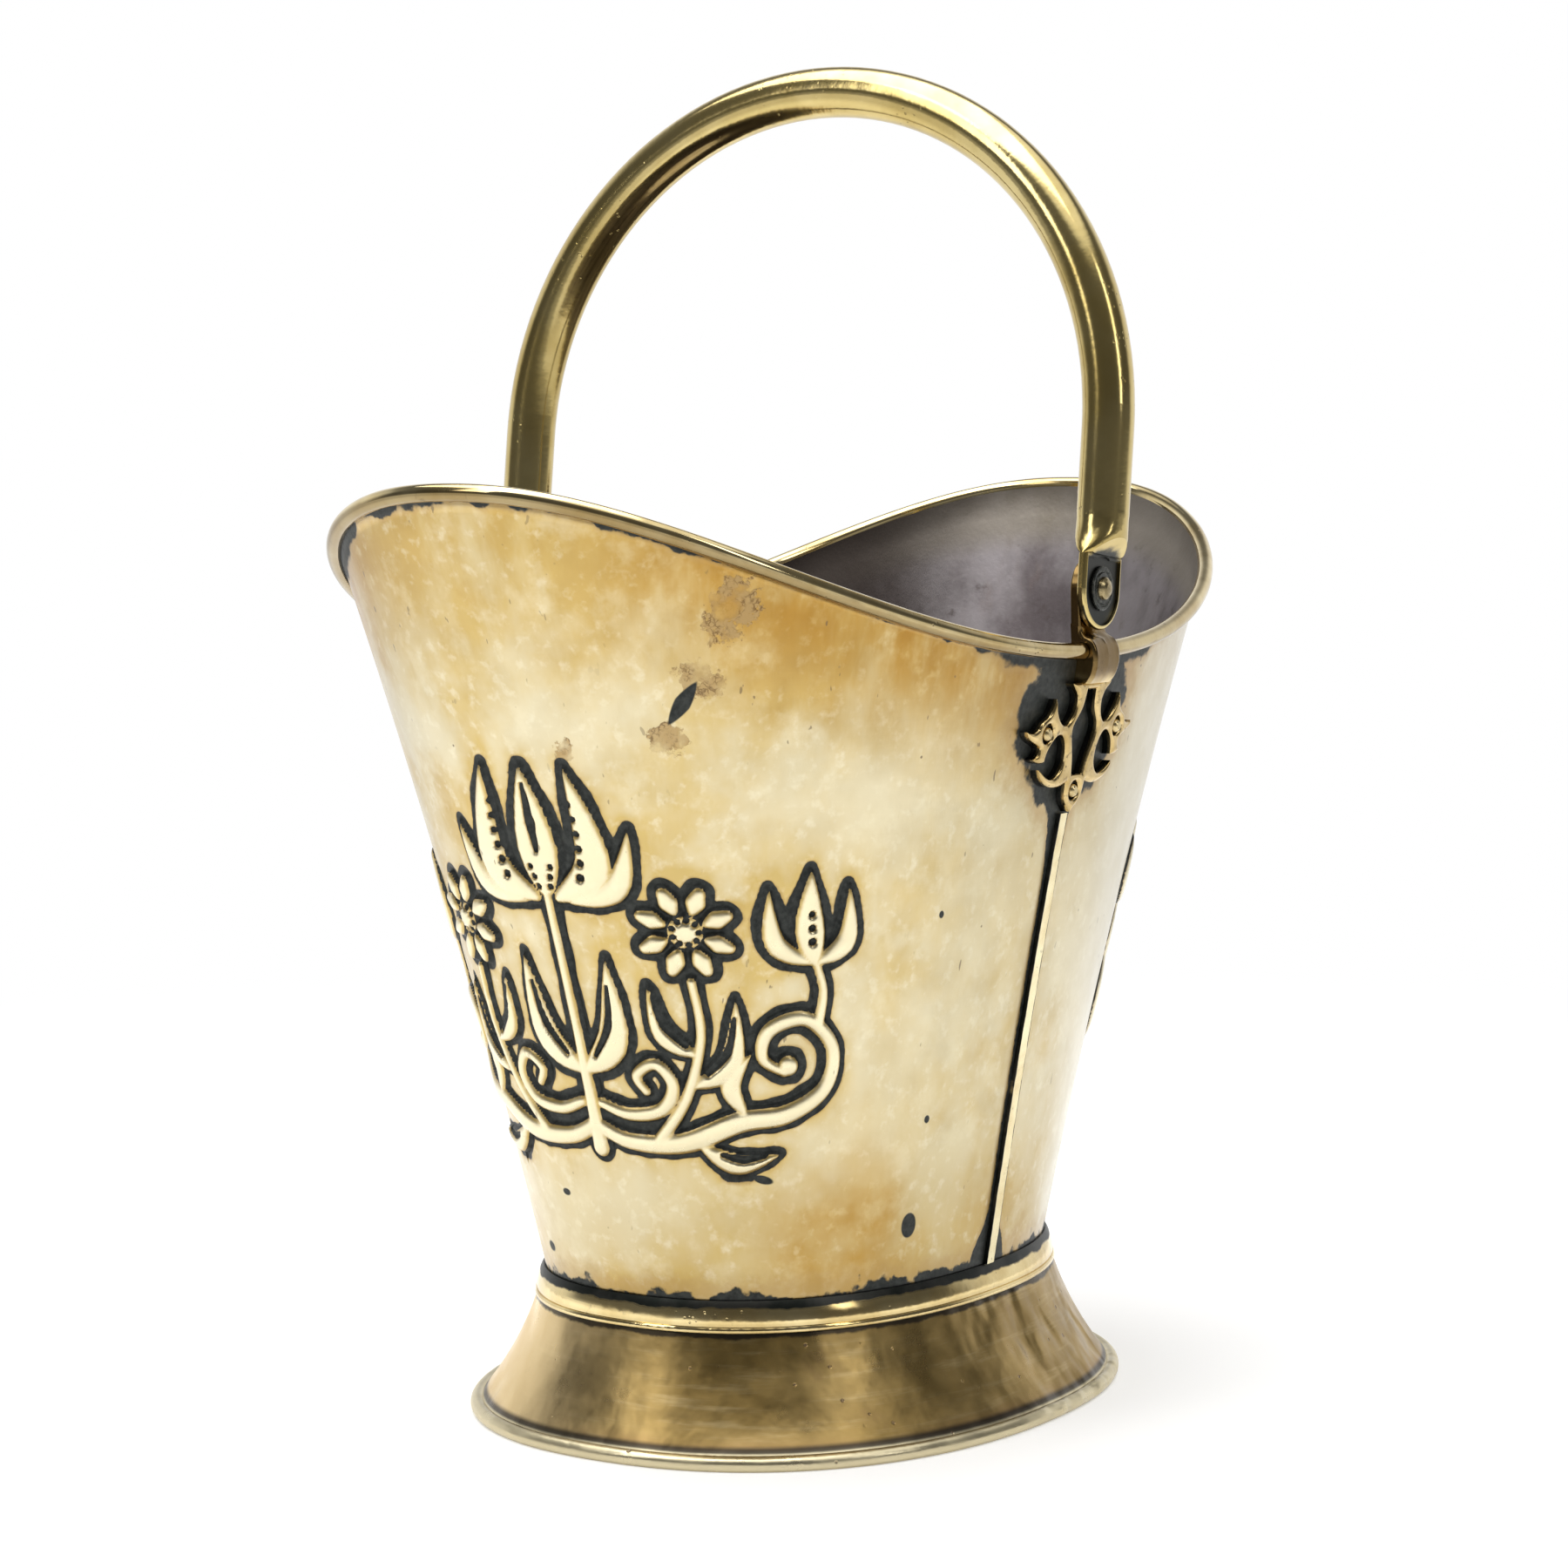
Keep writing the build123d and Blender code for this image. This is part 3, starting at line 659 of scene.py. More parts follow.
def spot(sh, centre, size, turn=0.0, edge=0.25, wobble=None, power=2.0):
    """Mask of a small mark at a place on the wall: size is its half extents in metres."""
    move = sh.vector("SUBTRACT", sh.position, centre)
    node = sh.add("ShaderNodeVectorRotate", rotation_type="AXIS_ANGLE")
    sh.feed(node.inputs["Vector"], move)
    normal = Vector((centre[0], centre[1], 0)).normalized()
    node.inputs["Axis"].default_value = normal
    node.inputs["Angle"].default_value = turn
    side = Vector((-normal.y, normal.x, 0))
    across = sh.vector("DOT_PRODUCT", node.outputs[0], tuple(side / size[0]))
    upward = sh.vector("DOT_PRODUCT", node.outputs[0], (0, 0, 1 / size[1]))
    far = sh.plus(sh.power(sh.absolute(across), power),
                  sh.power(sh.absolute(upward), power))
    depth = sh.vector("DOT_PRODUCT", move, tuple(normal / MARK_DEPTH))
    far = sh.plus(far, sh.power(sh.absolute(depth), 2.0))
    if wobble is not None:
        far = sh.plus(far, wobble)
    return sh.ramp(far, 1.0 + edge, 1.0 - edge)


def panel_tint(sh, x, y, below, above, polished):
    """Colour of the brass, and how warm it is: mottled everywhere, warmer under the rim, near the
    foot and round the relief, paler on polished relief, and paler and less warm on the right side,
    where a reflection is painted in; a little darker towards the right, which is painted shade."""
    cloud = sh.noise(26, 4, 0.55, shift=1.7)
    broad = sh.noise(9, 3, 0.5, shift=5.2)
    streak = sh.noise(60, 4, 0.6, (1.0, 1.0, 0.25), 8.0)
    warm = sh.ramp(cloud, 0.36, 0.66)
    warm = sh.times(warm, sh.ramp(broad, 0.35, 0.62, 0.25, 0.85))
    warm = sh.plus(warm, sh.times(sh.attribute("halo"), 0.85))
    warm = sh.plus(warm, sh.times(sh.ramp(below, 0.055, 0.004), 0.75))
    low_warm = sh.times(sh.ramp(above, 0.065, 0.005), sh.ramp(x, -0.115, -0.075, 0.2, 0.6))
    warm = sh.plus(warm, low_warm)
    warm = sh.times(warm, sh.ramp(streak, 0.2, 0.7, 0.55, 1.25), clamp=True)
    # painted reflection: the near right side paler and less warm, as if mirroring the white floor
    painted_reflection = sh.times(sh.ramp(x, 0.022, 0.060), sh.ramp(y, -0.02, -0.06, 0.0, 0.85))
    warm = sh.times(warm, sh.minus(1.0, painted_reflection))
    colour = sh.mix(warm, PALE, HONEY)
    deep = sh.times(sh.ramp(sh.noise(38, 5, 0.6, shift=11.0), 0.52, 0.76), warm)
    deep = sh.any(deep, sh.times(sh.ramp(below, 0.030, 0.002), sh.ramp(streak, 0.30, 0.62)))
    deep = sh.any(deep, sh.times(sh.ramp(above, 0.045, 0.010), sh.ramp(broad, 0.40, 0.62)))
    colour = sh.mix(sh.times(deep, 0.70), colour, (0.50, 0.33, 0.08))
    milky = sh.ramp(sh.noise(210, 3, 0.55, shift=2.0), 0.52, 0.76)
    colour = sh.mix(sh.times(milky, 0.40), colour, (0.82, 0.77, 0.59))
    hazy = sh.ramp(sh.noise(75, 4, 0.6, shift=12.0), 0.50, 0.72)
    colour = sh.mix(sh.times(hazy, 0.35), colour, (0.78, 0.71, 0.50))
    amber = sh.times(sh.ramp(below, 0.052, 0.004), sh.ramp(streak, 0.25, 0.60, 0.55, 1.0))
    amber = sh.times(amber, sh.ramp(x, -0.185, -0.150, 0.15, 1.0))
    amber = sh.times(amber, sh.minus(1.0, painted_reflection))
    low_middle = sh.vector("LENGTH", sh.vector("SUBTRACT", sh.position, LOW_STAIN))
    low_amber = sh.times(sh.ramp(low_middle, 0.042, 0.006), sh.ramp(cloud, 0.34, 0.58, 0.20, 0.8))
    amber = sh.any(amber, low_amber)
    colour = sh.mix(amber, colour, AMBER, "MULTIPLY")
    # painted shade: the colour darkened towards the right side
    colour = sh.mix(sh.ramp(x, -0.080, -0.030, 0.0, 0.5), colour, (0.80, 0.79, 0.74), "MULTIPLY")
    # painted reflection: pale colour over the right side
    colour = sh.mix(sh.times(painted_reflection, 0.6), colour, (0.69, 0.65, 0.53))
    colour = sh.mix(sh.times(polished, 0.85), colour, (0.84, 0.76, 0.52))
    return colour, warm


def panel_patina(sh, x, y, z, below, above, ragged):
    """Masks of the black patina, in the cuts of the relief, under the rim, where it is also painted
    shadow of the roll, round the lugs, at the seam and the collar, and of the brown along its edges."""
    cut = sh.attribute("cut")
    ragged_c = sh.minus(ragged, 0.5)
    wave = sh.minus(sh.noise(75, 4, 0.55, shift=3.7), 0.5)
    cuts = sh.ramp(sh.plus(cut, sh.times(ragged_c, 0.35)), 0.38, 0.50)

    # under the rim: black patina, and painted shadow of the rolled rim
    patch = sh.ramp(sh.noise(24, 3, 0.55, shift=14.0), 0.56, 0.66, 0.0, 0.0016)
    rim_reach = sh.plus(sh.ramp(sh.absolute(x), 0.085, 0.018, 0.0019, 0.0066), patch)
    left_reach = sh.ramp(x, -0.11, -0.15, 0.0030, 0.0062)
    rim_reach = sh.any(rim_reach, sh.ramp(y, 0.030, 0.075, 0.0, left_reach))
    rim_far = sh.divide(sh.plus(below, sh.times(wave, 0.009)), rim_reach)
    rim_dark = sh.ramp(rim_far, 1.25, 0.90)

    # round the lugs
    lug_x = sh.power(sh.absolute(sh.divide(sh.plus(x, 0.002), PATCH_HALF)), 1.3)
    lug_up = sh.any(sh.divide(sh.minus(z, LUG_Z), PATCH_UP), 0.0)
    lug_down = sh.any(sh.divide(sh.minus(LUG_Z, z), PATCH_DOWN), 0.0)
    lug_z = sh.power(sh.any(lug_up, lug_down), 1.6)
    lug_far = sh.plus(sh.plus(lug_x, lug_z), sh.times(wave, 0.9))
    lug_dark = sh.ramp(sh.plus(lug_far, sh.times(ragged_c, 0.2)), 1.06, 0.96)

    # along the seam, and above the collar
    seam_reach = sh.absolute(sh.plus(x, 0.0008))
    seam_flare = sh.any(sh.ramp(above, 0.020, 0.0, 0.0, 0.008), sh.ramp(z, 0.178, 0.206, 0.0, 0.004))
    seam_reach = sh.minus(seam_reach, seam_flare)
    seam_dark = sh.ramp(sh.plus(seam_reach, sh.times(ragged_c, 0.0035)), 0.0036, 0.0030)
    foot_wave = sh.plus(sh.times(wave, 0.016), sh.times(ragged_c, 0.004))
    foot_dark = sh.ramp(sh.plus(above, foot_wave), 0.0026, 0.0014)
    foot_brown = sh.ramp(sh.plus(above, sh.times(ragged_c, 0.014)), 0.011, 0.003)

    marks = sh.any(*(spot(sh, *mark) for mark in MARKS))
    dark = sh.any(cuts, rim_dark, lug_dark, seam_dark, foot_dark, marks)
    brown = sh.any(
        sh.ramp(sh.plus(cut, sh.times(ragged_c, 0.8)), 0.12, 0.45),
        sh.ramp(sh.plus(lug_far, sh.times(ragged_c, 0.8)), 1.55, 1.0),
        sh.ramp(rim_far, 2.0, 1.0),
        sh.ramp(seam_reach, 0.0062, 0.0036),
        sh.times(foot_brown, 0.8),
    )
    return dark, brown


def panel_specks(sh):
    """Mask of scattered dark dots and short upright ticks."""
    pit, chance = sh.cells(140, 0.4)
    few = sh.ramp(sh.channel(chance, 0), 0.86, 0.94)
    dots = sh.times(sh.ramp(pit, 0.085, 0.045), few)
    tick = sh.ramp(sh.noise(300, 2, 0.5, (1.0, 1.0, 0.35), 21.0), 0.715, 0.745)
    tick = sh.times(tick, sh.ramp(sh.noise(14, 2, 0.5, shift=22.0), 0.42, 0.58))
    return sh.any(dots, sh.times(tick, 0.8))


def panel_stains(sh, ragged):
    """Mask and colour of the crusty stains near the rim."""
    rough_edge = sh.waver(5.5, 230, 4, 0.65, shift=6.0)
    stains = sh.any(*(spot(sh, *stain, rough_edge) for stain in STAINS))
    stains = sh.times(stains, sh.ramp(sh.noise(130, 3, 0.5, shift=15.0), 0.36, 0.56, 0.25, 1.0))
    bend = sh.add("ShaderNodeTexNoise")
    sh.feed(bend.inputs["Vector"], sh.position)
    bend.inputs["Scale"].default_value = 420
    bent = sh.vector("MULTIPLY", bend.outputs["Color"], (0.0035, 0.0035, 0.0035))
    grit = sh.add("ShaderNodeTexVoronoi", feature="DISTANCE_TO_EDGE")
    sh.feed(grit.inputs["Vector"], sh.vector("ADD", sh.position, bent))
    grit.inputs["Scale"].default_value = 560
    crack = sh.times(sh.ramp(grit.outputs["Distance"], 0.20, 0.04), sh.ramp(ragged, 0.42, 0.58))
    rim_of_stain = sh.times(sh.ramp(stains, 0.0, 0.5), sh.ramp(stains, 1.0, 0.6, 0.0, 0.6))
    crust = sh.mix(sh.any(crack, rim_of_stain), (0.50, 0.34, 0.14), (0.20, 0.11, 0.035))
    return stains, crust


def panel_brass():
    """Outside of the panels: pale brass with honey tints, black patina and stains, with painted
    reflection and shade on the right side and painted shadow under the rim.
    """
    sh = Shader("panel_brass")
    x, y, z = sh.axes()
    below, above = sh.minus(sh.rim_line(x), z), sh.minus(z, COLLAR_TOP_Z)
    fine = sh.noise(420, 4, 0.62)
    ragged = sh.noise(150, 5, 0.65, shift=3.1)
    polished = sh.ramp(sh.attribute("raised"), 0.55, 0.85)
    colour, warm = panel_tint(sh, x, y, below, above, polished)
    dark, brown = panel_patina(sh, x, y, z, below, above, ragged)
    stains, crust = panel_stains(sh, ragged)
    slate = sh.mix(sh.ramp(fine, 0.3, 0.7), *SLATE)
    colour = sh.mix(sh.times(brown, 0.7), colour, (0.42, 0.27, 0.09))
    colour = sh.mix(sh.times(panel_specks(sh), 0.8), colour, (0.13, 0.09, 0.05))
    colour = sh.mix(sh.times(stains, 0.80), colour, crust)
    colour = sh.mix(dark, colour, slate)
    sh.set(Base_Color=colour)

    sh.set(Metallic=sh.ramp(dark, 0.0, 1.0, 1.0, 0.5))
    rough = sh.ramp(sh.noise(70, 4, 0.6, shift=4.0), 0.3, 0.7, 0.30, 0.42)
    rough = sh.plus(rough, sh.times(warm, 0.05))
    rough = sh.minus(rough, sh.times(polished, 0.12))
    rough = sh.any(rough, sh.times(dark, 0.5), sh.times(stains, 0.6))
    lacquer = sh.times(sh.minus(1.0, dark), 0.5)
    sh.set(Roughness=rough, Coat_Weight=lacquer, Coat_Roughness=0.16)

    dent = sh.bump(sh.noise(16, 2, 0.45, shift=9.0), 0.006, 0.5)
    scratch = sh.plus(sh.noise(700, 2, 0.5, (1.0, 1.0, 0.06), 6.0),
                      sh.noise(620, 2, 0.5, (0.08, 0.08, 1.0), 7.0))
    grain = sh.bump(scratch, 0.00012, 0.35, dent)
    flake = sh.plus(sh.times(dark, -0.4), sh.times(stains, 0.4))
    flake = sh.plus(flake, sh.times(fine, 0.12))
    sh.set(Normal=sh.bump(flake, 0.0003, 0.6, grain))
    return sh.material


def inside_tarnish():
    """Inside of the panels: dull, cloudy and greyish, with painted shade on the far side."""
    sh = Shader("inside_tarnish")
    x, y, z = sh.axes()
    below = sh.minus(sh.rim_line(x), z)
    cloud = sh.noise(24, 5, 0.6, (1.0, 1.0, 0.6), 2.0)
    colour = sh.mix(sh.ramp(cloud, 0.36, 0.64), (0.11, 0.092, 0.095), (0.29, 0.265, 0.27))
    spots = sh.ramp(sh.noise(110, 5, 0.65, shift=3.0), 0.58, 0.72)
    colour = sh.mix(sh.times(spots, 0.6), colour, (0.085, 0.065, 0.062))
    drip = sh.noise(70, 4, 0.6, (1.0, 1.0, 0.18), 5.0)
    colour = sh.mix(sh.ramp(drip, 0.55, 0.8, 0.0, 0.5), colour, (0.19, 0.145, 0.13))
    band = sh.times(sh.ramp(below, 0.020, 0.010), 0.7)
    colour = sh.mix(band, colour, (0.25, 0.22, 0.17))
    # painted shade: the inside darker towards the far side
    shade = sh.ramp(y, 0.018, 0.072, 0.0, 0.92)
    colour = sh.mix(shade, colour, (0.055, 0.042, 0.036))
    fleck, chance = sh.cells(60, 0.9)
    bright = sh.times(sh.ramp(fleck, 0.07, 0.04), sh.ramp(sh.channel(chance, 0), 0.93, 0.97))
    colour = sh.mix(bright, colour, (0.85, 0.80, 0.62))
    sh.set(Base_Color=colour, Metallic=0.75)
    sh.set(Roughness=sh.ramp(cloud, 0.3, 0.7, 0.42, 0.56))
    dent = sh.bump(sh.noise(20, 2, 0.5), 0.004, 0.4)
    sh.set(Normal=sh.bump(sh.noise(260, 4, 0.6), 0.0004, 0.3, dent))
    return sh.material


def lug_sides(sh):
    """Sides, gaps and pockets of the lug's plate, below its outer face: black patina in the gaps and
    painted shade on the sides.
    """
    x, y, z = sh.axes()
    rise = sh.minus(z, BODY_Z)
    t = sh.divide(rise, HOLLOW_SPAN)
    dip = sh.times(sh.times(t, sh.minus(t, 1.0)), HOLLOW * 0.6)
    half = sh.plus(sh.plus(sh.times(rise, FLARE_B), BODY_B), dip)
    bend = sh.power(sh.absolute(sh.divide(x, LUG_BEND_X)), OVAL_POWER)
    wall = sh.times(half, sh.minus(1.0, sh.times(bend, LUG_BEND)))
    proud = sh.minus(sh.absolute(y), wall)
    on_plate = sh.ramp(z, *PLATE_TOP)
    edge = sh.plus(proud, sh.waver(0.0012, 300, 3))
    return sh.times(sh.ramp(edge, 0.0026, 0.0017), on_plate)


def rim_underside(sh):
    """Darker brown on the lower side of the rolled rim, and faintly along its right side, where it is
    painted shade.
    """
    x, y, z = sh.axes()
    over = sh.minus(z, sh.rim_line(x))
    wave = sh.waver(0.0015, 90, 3)
    # painted shade: faint brown along the rim's right side
    side = sh.times(sh.ramp(x, -0.150, -0.090), sh.ramp(x, 0.110, 0.050))
    side = sh.times(side, sh.ramp(y, -0.030, -0.070, 0.0, 0.28))
    return sh.any(side, sh.ramp(sh.plus(over, wave), 0.0000, -0.0016, 0.0, 0.65))


def lug_neck(sh):
    """Darker ear and neck, above the plate: painted shade."""
    z = sh.axes()[2]
    wave = sh.waver(0.006, 110, 3)
    return sh.ramp(sh.plus(z, wave), *NECK_FOOT, 0.0, 0.92)


def pressed_recess(sh):
    """Floor of the dished handle end."""
    x, y, z = sh.axes()
    c, s = math.cos(HANDLE_LEAN), math.sin(HANDLE_LEAN)
    up = sh.minus(z, PIVOT_Z)
    across = sh.minus(sh.times(x, c), sh.times(up, s))
    along = sh.plus(sh.times(x, s), sh.times(up, c))
    out = sh.absolute(y)
    slant = sh.minus(out, sh.any(sh.minus(along, RECESS_BEND), 0.0))
    deep = sh.times(sh.ramp(slant, *RECESS_OUTER), sh.ramp(out, *RECESS_INNER))
    wide = sh.ramp(sh.absolute(across), *RECESS_SIDE)
    edge = sh.plus(along, sh.waver(0.004, 260, 3))
    edge = sh.plus(edge, sh.times(sh.power(sh.absolute(across), 2.0), 25.0))
    return sh.times(sh.times(deep, wide), sh.ramp(edge, *RECESS_END))


def strip_edges(sh):
    """Black along both edges of the seam strips."""
    x = sh.axes()[0]
    wave = sh.waver(0.0010, 200, 3)
    return sh.ramp(sh.plus(sh.absolute(x), wave), *STRIP_EDGE)


def collar_grime(sh):
    """Black on the shoulder against the wall, and in the crease above the foot."""
    z = sh.axes()[2]
    wave = sh.waver(0.0036, 80, 4, 0.55)
    top = sh.ramp(sh.plus(z, wave), *COLLAR_SHOULDER)
    return sh.any(top, sh.ramp(z, *COLLAR_CREASE))


def worn_brass(name, bright, dull, dark, mottle=30, rough=(0.18, 0.34), dark_share=(0.62, 0.8),
               grain=None, grime=None, shade=None):
    """Brass of small parts: two tones, dark stains and fine wear.

    grime gives a mask of black patina and shade one of darker brown, both partly painted shade; grain
    stretches fine lines.
    """
    sh = Shader(name)
    cloud = sh.noise(mottle, 5, 0.6, shift=1.0)
    colour = sh.mix(sh.ramp(cloud, 0.3, 0.7), bright, dull)
    stain = sh.ramp(sh.noise(mottle * 4, 5, 0.65, shift=4.0), *dark_share)
    colour = sh.mix(sh.times(stain, 0.85), colour, dark)
    pit, _ = sh.cells(420, 0.2)
    pits = sh.times(sh.ramp(pit, 0.20, 0.10), sh.ramp(sh.noise(45, 3, 0.5), 0.54, 0.74))
    colour = sh.mix(sh.times(pits, 0.6), colour, dark)
    if shade:
        colour = sh.mix(shade(sh), colour, BROWN)
    gloss = sh.plus(sh.ramp(cloud, 0.3, 0.7, *rough), sh.times(stain, 0.15))
    if grime:
        black = grime(sh)
        colour = sh.mix(black, colour, sh.mix(sh.ramp(cloud, 0.4, 0.6), *GRIME))
        gloss = sh.any(gloss, sh.times(black, 0.42))
    sh.set(Base_Color=colour, Metallic=1.0, Roughness=gloss)
    under = sh.bump(sh.noise(40, 2, 0.5, shift=7.0), 0.001, 0.25)
    if grain:
        under = sh.bump(sh.noise(500, 2, 0.5, grain, 3.0), 0.0001, 0.3, under)
    sh.set(Normal=sh.bump(sh.times(pits, -1.0), 0.0003, 0.6, under))
    return sh.material


def foot_brass():
    """Foot: darker worn brass, with dents at the right and a bright hem, painted light on its left end
    and painted shadow under the collar.
    """
    sh = Shader("foot_brass")
    x, y, z = sh.axes()
    cloud = sh.noise(22, 5, 0.6, (1.0, 1.0, 1.6), 3.0)
    colour = sh.mix(sh.ramp(cloud, 0.3, 0.7), (0.43, 0.30, 0.115), (0.29, 0.195, 0.065))
    brushed = sh.noise(90, 4, 0.6, (0.35, 0.35, 4.0), 6.0)
    colour = sh.mix(sh.ramp(brushed, 0.5, 0.75, 0.0, 0.45), colour, (0.58, 0.45, 0.23))
    # painted light: the foot's left end lighter, as if lit
    colour = sh.mix(sh.ramp(y, -0.012, 0.048, 0.0, 0.85), colour, (0.92, 0.71, 0.38))
    blotch = sh.ramp(sh.noise(55, 5, 0.65, shift=9.0), 0.58, 0.8, 0.0, 0.6)
    colour = sh.mix(blotch, colour, (0.30, 0.19, 0.09))
    low = sh.ramp(sh.plus(z, sh.times(cloud, 0.012)), 0.016, 0.007)
    colour = sh.mix(sh.times(low, 0.75), colour, (0.27, 0.15, 0.07))
    hem = sh.ramp(z, *HEM)
    colour = sh.mix(hem, colour, (0.66, 0.58, 0.38))
    crease = sh.times(sh.ramp(z, *HEM_CREASE_TOP), sh.ramp(z, *HEM_CREASE_LOW))
    # top of the foot under the collar: grime in the crease and painted shadow of the collar
    wave = sh.waver(0.003, 90, 4, 0.6)
    crease = sh.any(crease, sh.ramp(sh.plus(z, wave), *FOOT_CREASE))
    colour = sh.mix(sh.times(crease, 0.9), colour, (0.04, 0.035, 0.03))
    pit, chance = sh.cells(170, 0.7)
    pits = sh.times(sh.ramp(pit, 0.14, 0.07), sh.ramp(sh.channel(chance, 1), 0.72, 0.85))
    colour = sh.mix(sh.times(pits, 0.8), colour, (0.20, 0.14, 0.09))
    sh.set(Base_Color=colour, Metallic=1.0)
    sh.set(Roughness=sh.ramp(sh.noise(60, 4, 0.6), 0.3, 0.7, 0.26, 0.42))
    dent = sh.bump(sh.noise(24, 2, 0.5, shift=2.0), 0.004, 0.5)
    worn = sh.times(sh.ramp(y, -0.045, -0.075), sh.ramp(x, -0.045, -0.010))
    knocks = sh.ramp(sh.noise(42, 2, 0.45, (1.0, 1.0, 0.7), 4.0), 0.32, 0.60)
    dent = sh.bump(sh.times(knocks, worn), 0.0020, 0.7, dent)
    hammer = sh.bump(sh.noise(130, 2, 0.5), 0.0008, 0.25, dent)
    sh.set(Normal=sh.bump(sh.times(pits, -1.0), 0.0005, 0.7, hammer))
    return sh.material


def dark_brass():
    """Washers, blackened all over."""
    sh = Shader("dark_brass")
    tone = sh.ramp(sh.noise(700, 4, 0.6), 0.35, 0.7)
    sh.set(Base_Color=sh.mix(tone, (0.022, 0.025, 0.023), (0.085, 0.085, 0.072)), Metallic=0.8)
    sh.set(Roughness=sh.ramp(sh.noise(500, 3, 0.5), 0.3, 0.7, 0.22, 0.40))
    sh.set(Normal=sh.bump(sh.noise(1500, 3, 0.6), 0.0002, 0.4))
    return sh.material


def plain_wire():
    """Wire inside the rolled edges."""
    sh = Shader("plain_wire")
    tone = sh.ramp(sh.noise(200, 4, 0.6), 0.35, 0.7)
    sh.set(Base_Color=sh.mix(tone, (0.36, 0.34, 0.31), (0.52, 0.50, 0.47)), Metallic=1.0)
    sh.set(Roughness=sh.ramp(sh.noise(400, 3, 0.5), 0.3, 0.7, 0.35, 0.55))
    return sh.material


def put(node, material):
    """Gives a CAD piece its material."""
    slots = nodes[node].data.materials
    slots.clear()
    slots.append(material)


rim_brass = worn_brass("rim_brass", (0.74, 0.62, 0.35), (0.52, 0.39, 0.17), (0.14, 0.11, 0.07), 40,
                       (0.06, 0.13), shade=rim_underside)
outside, inside = panel_brass(), inside_tarnish()
for node, facing in (("front_panel", -1), ("back_panel", 1)):
    piece = build_panel(node + "_embossed", facing, [outside, rim_brass, inside])
    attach(piece, "bucket")
    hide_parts(node)

moulding = worn_brass("moulding_brass", (0.78, 0.64, 0.34), (0.58, 0.43, 0.18), (0.12, 0.09, 0.06), 35,
                      (0.07, 0.16), grime=collar_grime)
strip = worn_brass("strip_brass", (0.84, 0.75, 0.48), (0.70, 0.57, 0.31), (0.12, 0.09, 0.06), 60,
                   (0.16, 0.28), grime=strip_edges)
cast = worn_brass("cast_brass", (0.74, 0.59, 0.31), (0.52, 0.38, 0.17), (0.07, 0.06, 0.05), 60,
                  (0.10, 0.20), (0.60, 0.76), grime=lug_sides, shade=lug_neck)
tube = worn_brass("tube_brass", (0.73, 0.60, 0.29), (0.46, 0.34, 0.11), (0.16, 0.11, 0.05), 14,
                  (0.10, 0.19), (0.70, 0.9), (0.2, 1.0, 1.0), pressed_recess)
rivet = worn_brass("rivet_brass", (0.70, 0.57, 0.31), (0.48, 0.37, 0.18), (0.10, 0.09, 0.07), 200)
pivot = worn_brass("pivot_brass", (0.40, 0.32, 0.17), (0.24, 0.19, 0.10), (0.05, 0.05, 0.04), 260)
pan = worn_brass("pan_brass", (0.46, 0.42, 0.40), (0.34, 0.30, 0.29), (0.14, 0.12, 0.11), 25,
                 (0.4, 0.6))
scroll = worn_brass("scroll_brass", (0.66, 0.50, 0.24), (0.44, 0.31, 0.12), (0.07, 0.055, 0.04), 90,
                    (0.08, 0.17), (0.56, 0.74))
blackened, foot, wire = dark_brass(), foot_brass(), plain_wire()
for side in ("right", "left"):
    put(side + "_seam_strip", strip)
    put(side + "_lug", cast)
    put(side + "_lug_pins", rivet)
    bars = build_scroll(side + "_lug_scroll", side + "_lug", -1 if side == "right" else 1, scroll)
    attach(bars, "bucket")
    put(side + "_pivot_rivet", pivot)
    put(side + "_pivot_washer", blackened)
    put(side + "_inner_washer", blackened)
for node, material in (("collar_band", moulding), ("foot_skirt", foot), ("handle_tube", tube),
                       ("base_pan", pan), ("rim_wire", wire), ("foot_wire", wire)):
    put(node, material)


# Floor, backdrop, light and camera

def floor_material():
    """Pale studio floor: a plain surface round the object that fades into the white backdrop."""
    sh = Shader("studio_white")
    tone = sh.noise(3, 2, 0.5)
    sh.set(Base_Color=sh.mix(tone, (0.79, 0.79, 0.79), (0.81, 0.81, 0.81)))
    sh.set(Roughness=0.9, Specular_IOR_Level=0.0)
    path = sh.add("ShaderNodeLightPath").outputs
    seen = sh.any(path["Is Camera Ray"], path["Is Glossy Ray"], path["Is Transmission Ray"])
    sh.set(Emission_Color=(1.0, 1.0, 1.0), Emission_Strength=sh.times(seen, FLOOR_GLOW))
    white = sh.add("ShaderNodeEmission")
    far = sh.ramp(sh.vector("LENGTH", sh.position), *FLOOR_FADE)
    blend = sh.add("ShaderNodeMixShader")
    sh.feed(blend.inputs[0], sh.times(far, seen))
    sh.feed(blend.inputs[1], sh.bsdf.outputs[0])
    sh.feed(blend.inputs[2], white.outputs[0])
    sh.feed(sh.output.inputs[0], blend.outputs[0])
    return sh.material


def add_floor():
    mesh = bpy.data.meshes.new("floor")
    lines = (-FLOOR_HALF, 0.0, FLOOR_HALF)
    grid = [(x, y, 0.0) for x in lines for y in lines]
    faces = [(i, i + 3, i + 4, i + 1) for i in (0, 1, 3, 4)]
    mesh.from_pydata(grid, [], faces)
    mesh.materials.append(floor_material())
    obj = bpy.data.objects.new("floor", mesh)
    bpy.context.scene.collection.objects.link(obj)


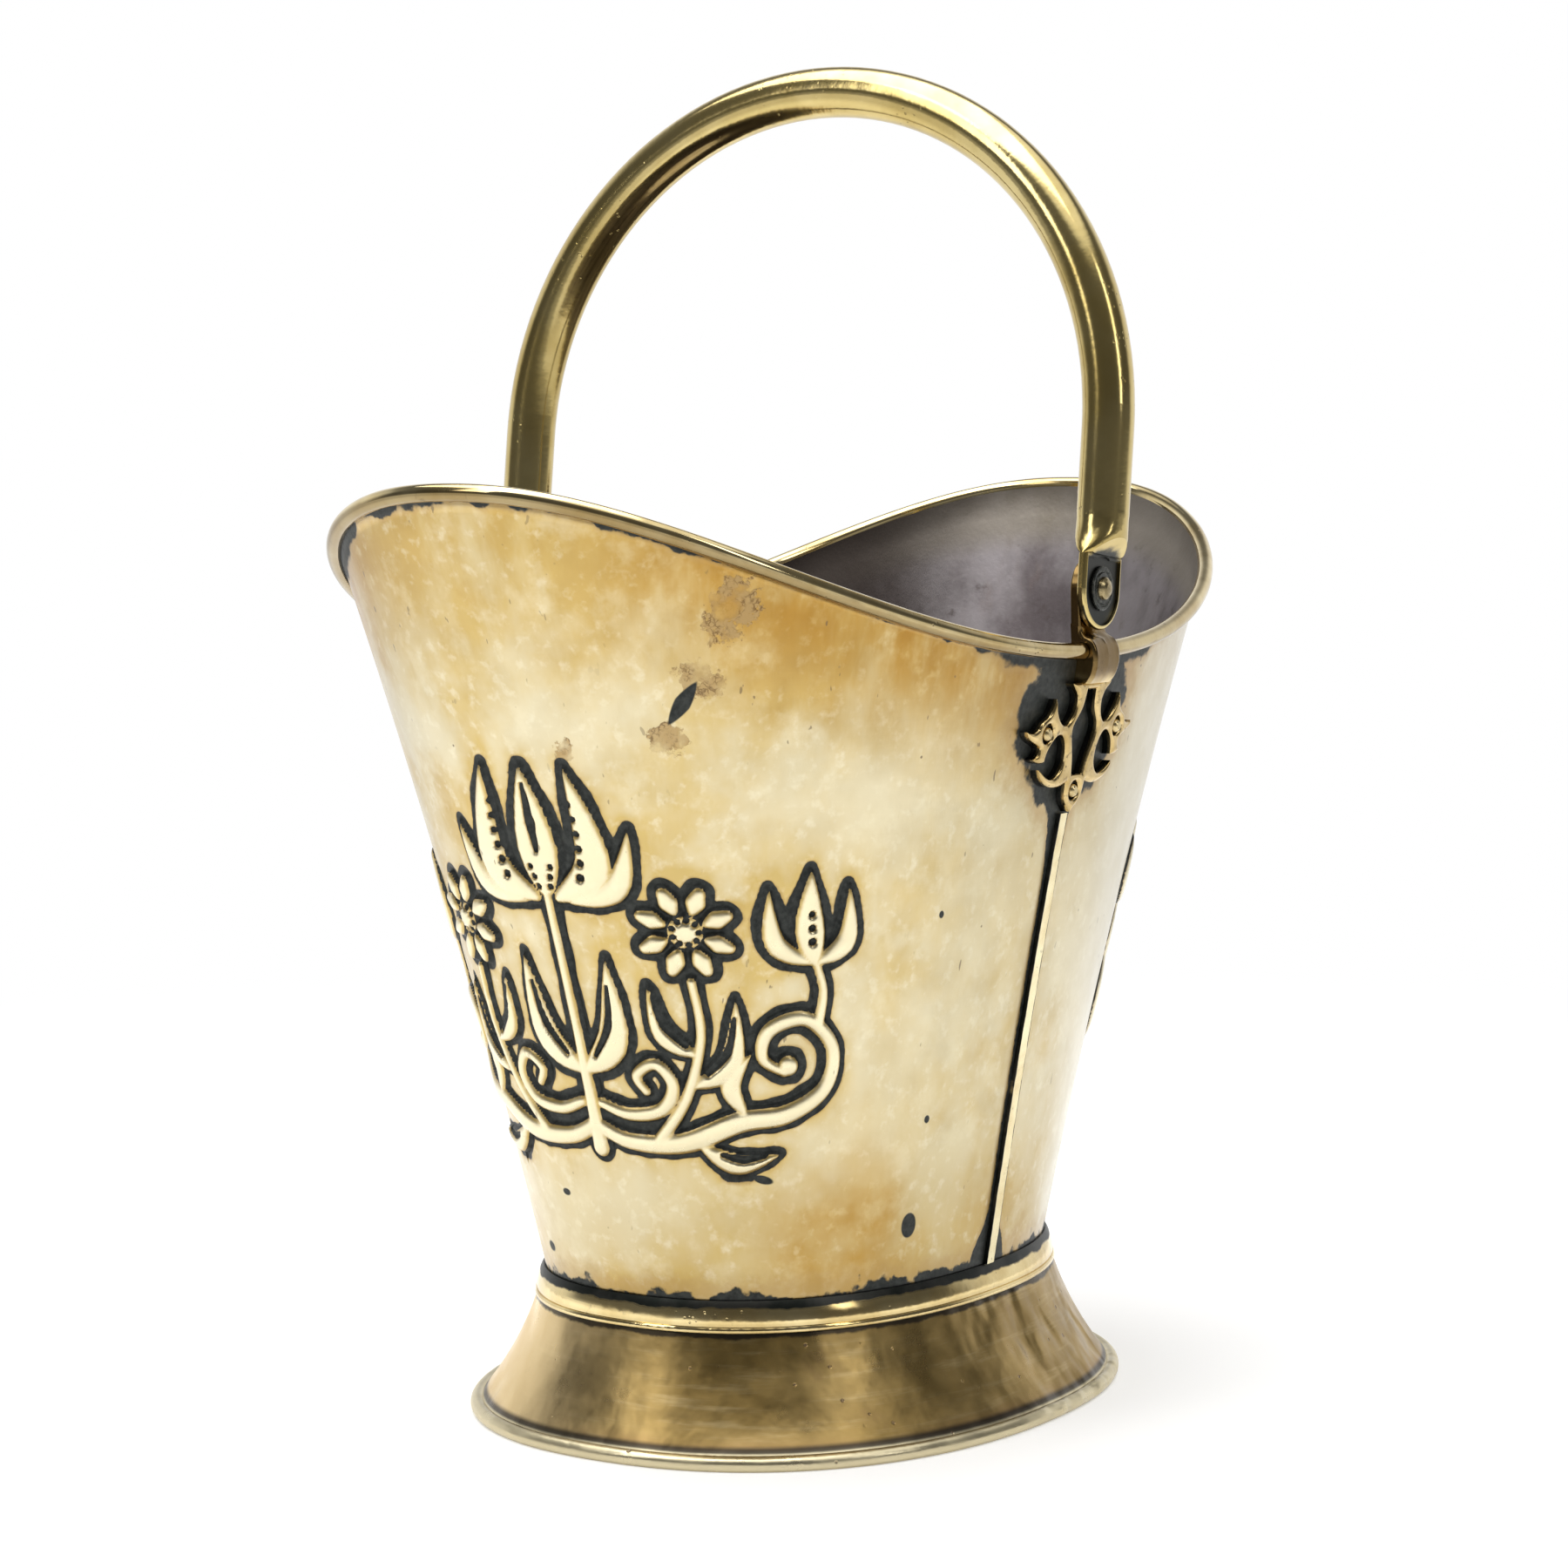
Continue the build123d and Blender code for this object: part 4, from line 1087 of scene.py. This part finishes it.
def add_lamp(name, at, look, width, height, watts):
    data = bpy.data.lights.new(name, "AREA")
    data.shape = "RECTANGLE"
    data.size, data.size_y = width, height
    data.energy = watts
    obj = bpy.data.objects.new(name, data)
    obj.location = at
    obj.rotation_euler = (Vector(look) - Vector(at)).to_track_quat("-Z", "Y").to_euler()
    bpy.context.scene.collection.objects.link(obj)


def add_world():
    """White backdrop behind the object in a darker room; the camera sees white everywhere."""
    world = bpy.data.worlds.new("studio")
    bpy.context.scene.world = world
    world.use_nodes = True
    sh = Tree(world.node_tree)
    direction = sh.add("ShaderNodeTexCoord").outputs["Generated"]
    up = sh.split(direction)[2]
    room = sh.add("ShaderNodeValToRGB")
    stops = room.color_ramp.elements
    stops[0].position, stops[1].position = ROOM[0][0], ROOM[-1][0]
    stops[0].color, stops[1].color = (*[ROOM[0][1]] * 3, 1), (*[ROOM[-1][1]] * 3, 1)
    for at, grey in ROOM[1:-1]:
        stops.new(at).color = (grey, grey, grey, 1)
    sh.feed(room.inputs[0], up)
    spread = sh.ramp(sh.vector("DOT_PRODUCT", direction, BACKDROP), *BACKDROP_SPREAD)
    sheet = sh.times(spread, sh.ramp(up, *BACKDROP_TOP))
    level = sh.any(room.outputs[0], sheet)
    # metal and glass see the same white as the camera over the backdrop
    path = sh.add("ShaderNodeLightPath").outputs
    mirrored = sh.times(sh.any(path["Is Glossy Ray"], path["Is Transmission Ray"]), sheet)
    seen = sh.any(path["Is Camera Ray"], mirrored)
    background = sh.add("ShaderNodeBackground")
    sh.feed(background.inputs[0], sh.mix(seen, level, (1.0, 1.0, 1.0)))
    sh.feed(background.inputs[1], 1.0)
    sh.feed(sh.add("ShaderNodeOutputWorld").inputs[0], background.outputs[0])


add_floor()
add_world()
for lamp in LAMPS:
    add_lamp(*lamp)

camera_data = bpy.data.cameras.new("camera")
camera_data.lens = LENS
camera_data.sensor_width = SENSOR
camera = bpy.data.objects.new("camera", camera_data)
bpy.context.scene.collection.objects.link(camera)
aim = (CAMERA_LOOK - CAMERA_AT).to_track_quat("-Z", "Y").to_matrix().to_4x4()
camera.matrix_world = Matrix.Translation(CAMERA_AT) @ aim @ Matrix.Rotation(CAMERA_ROLL, 4, "Z")
bpy.context.scene.camera = camera
bpy.context.scene.view_settings.view_transform = "Standard"
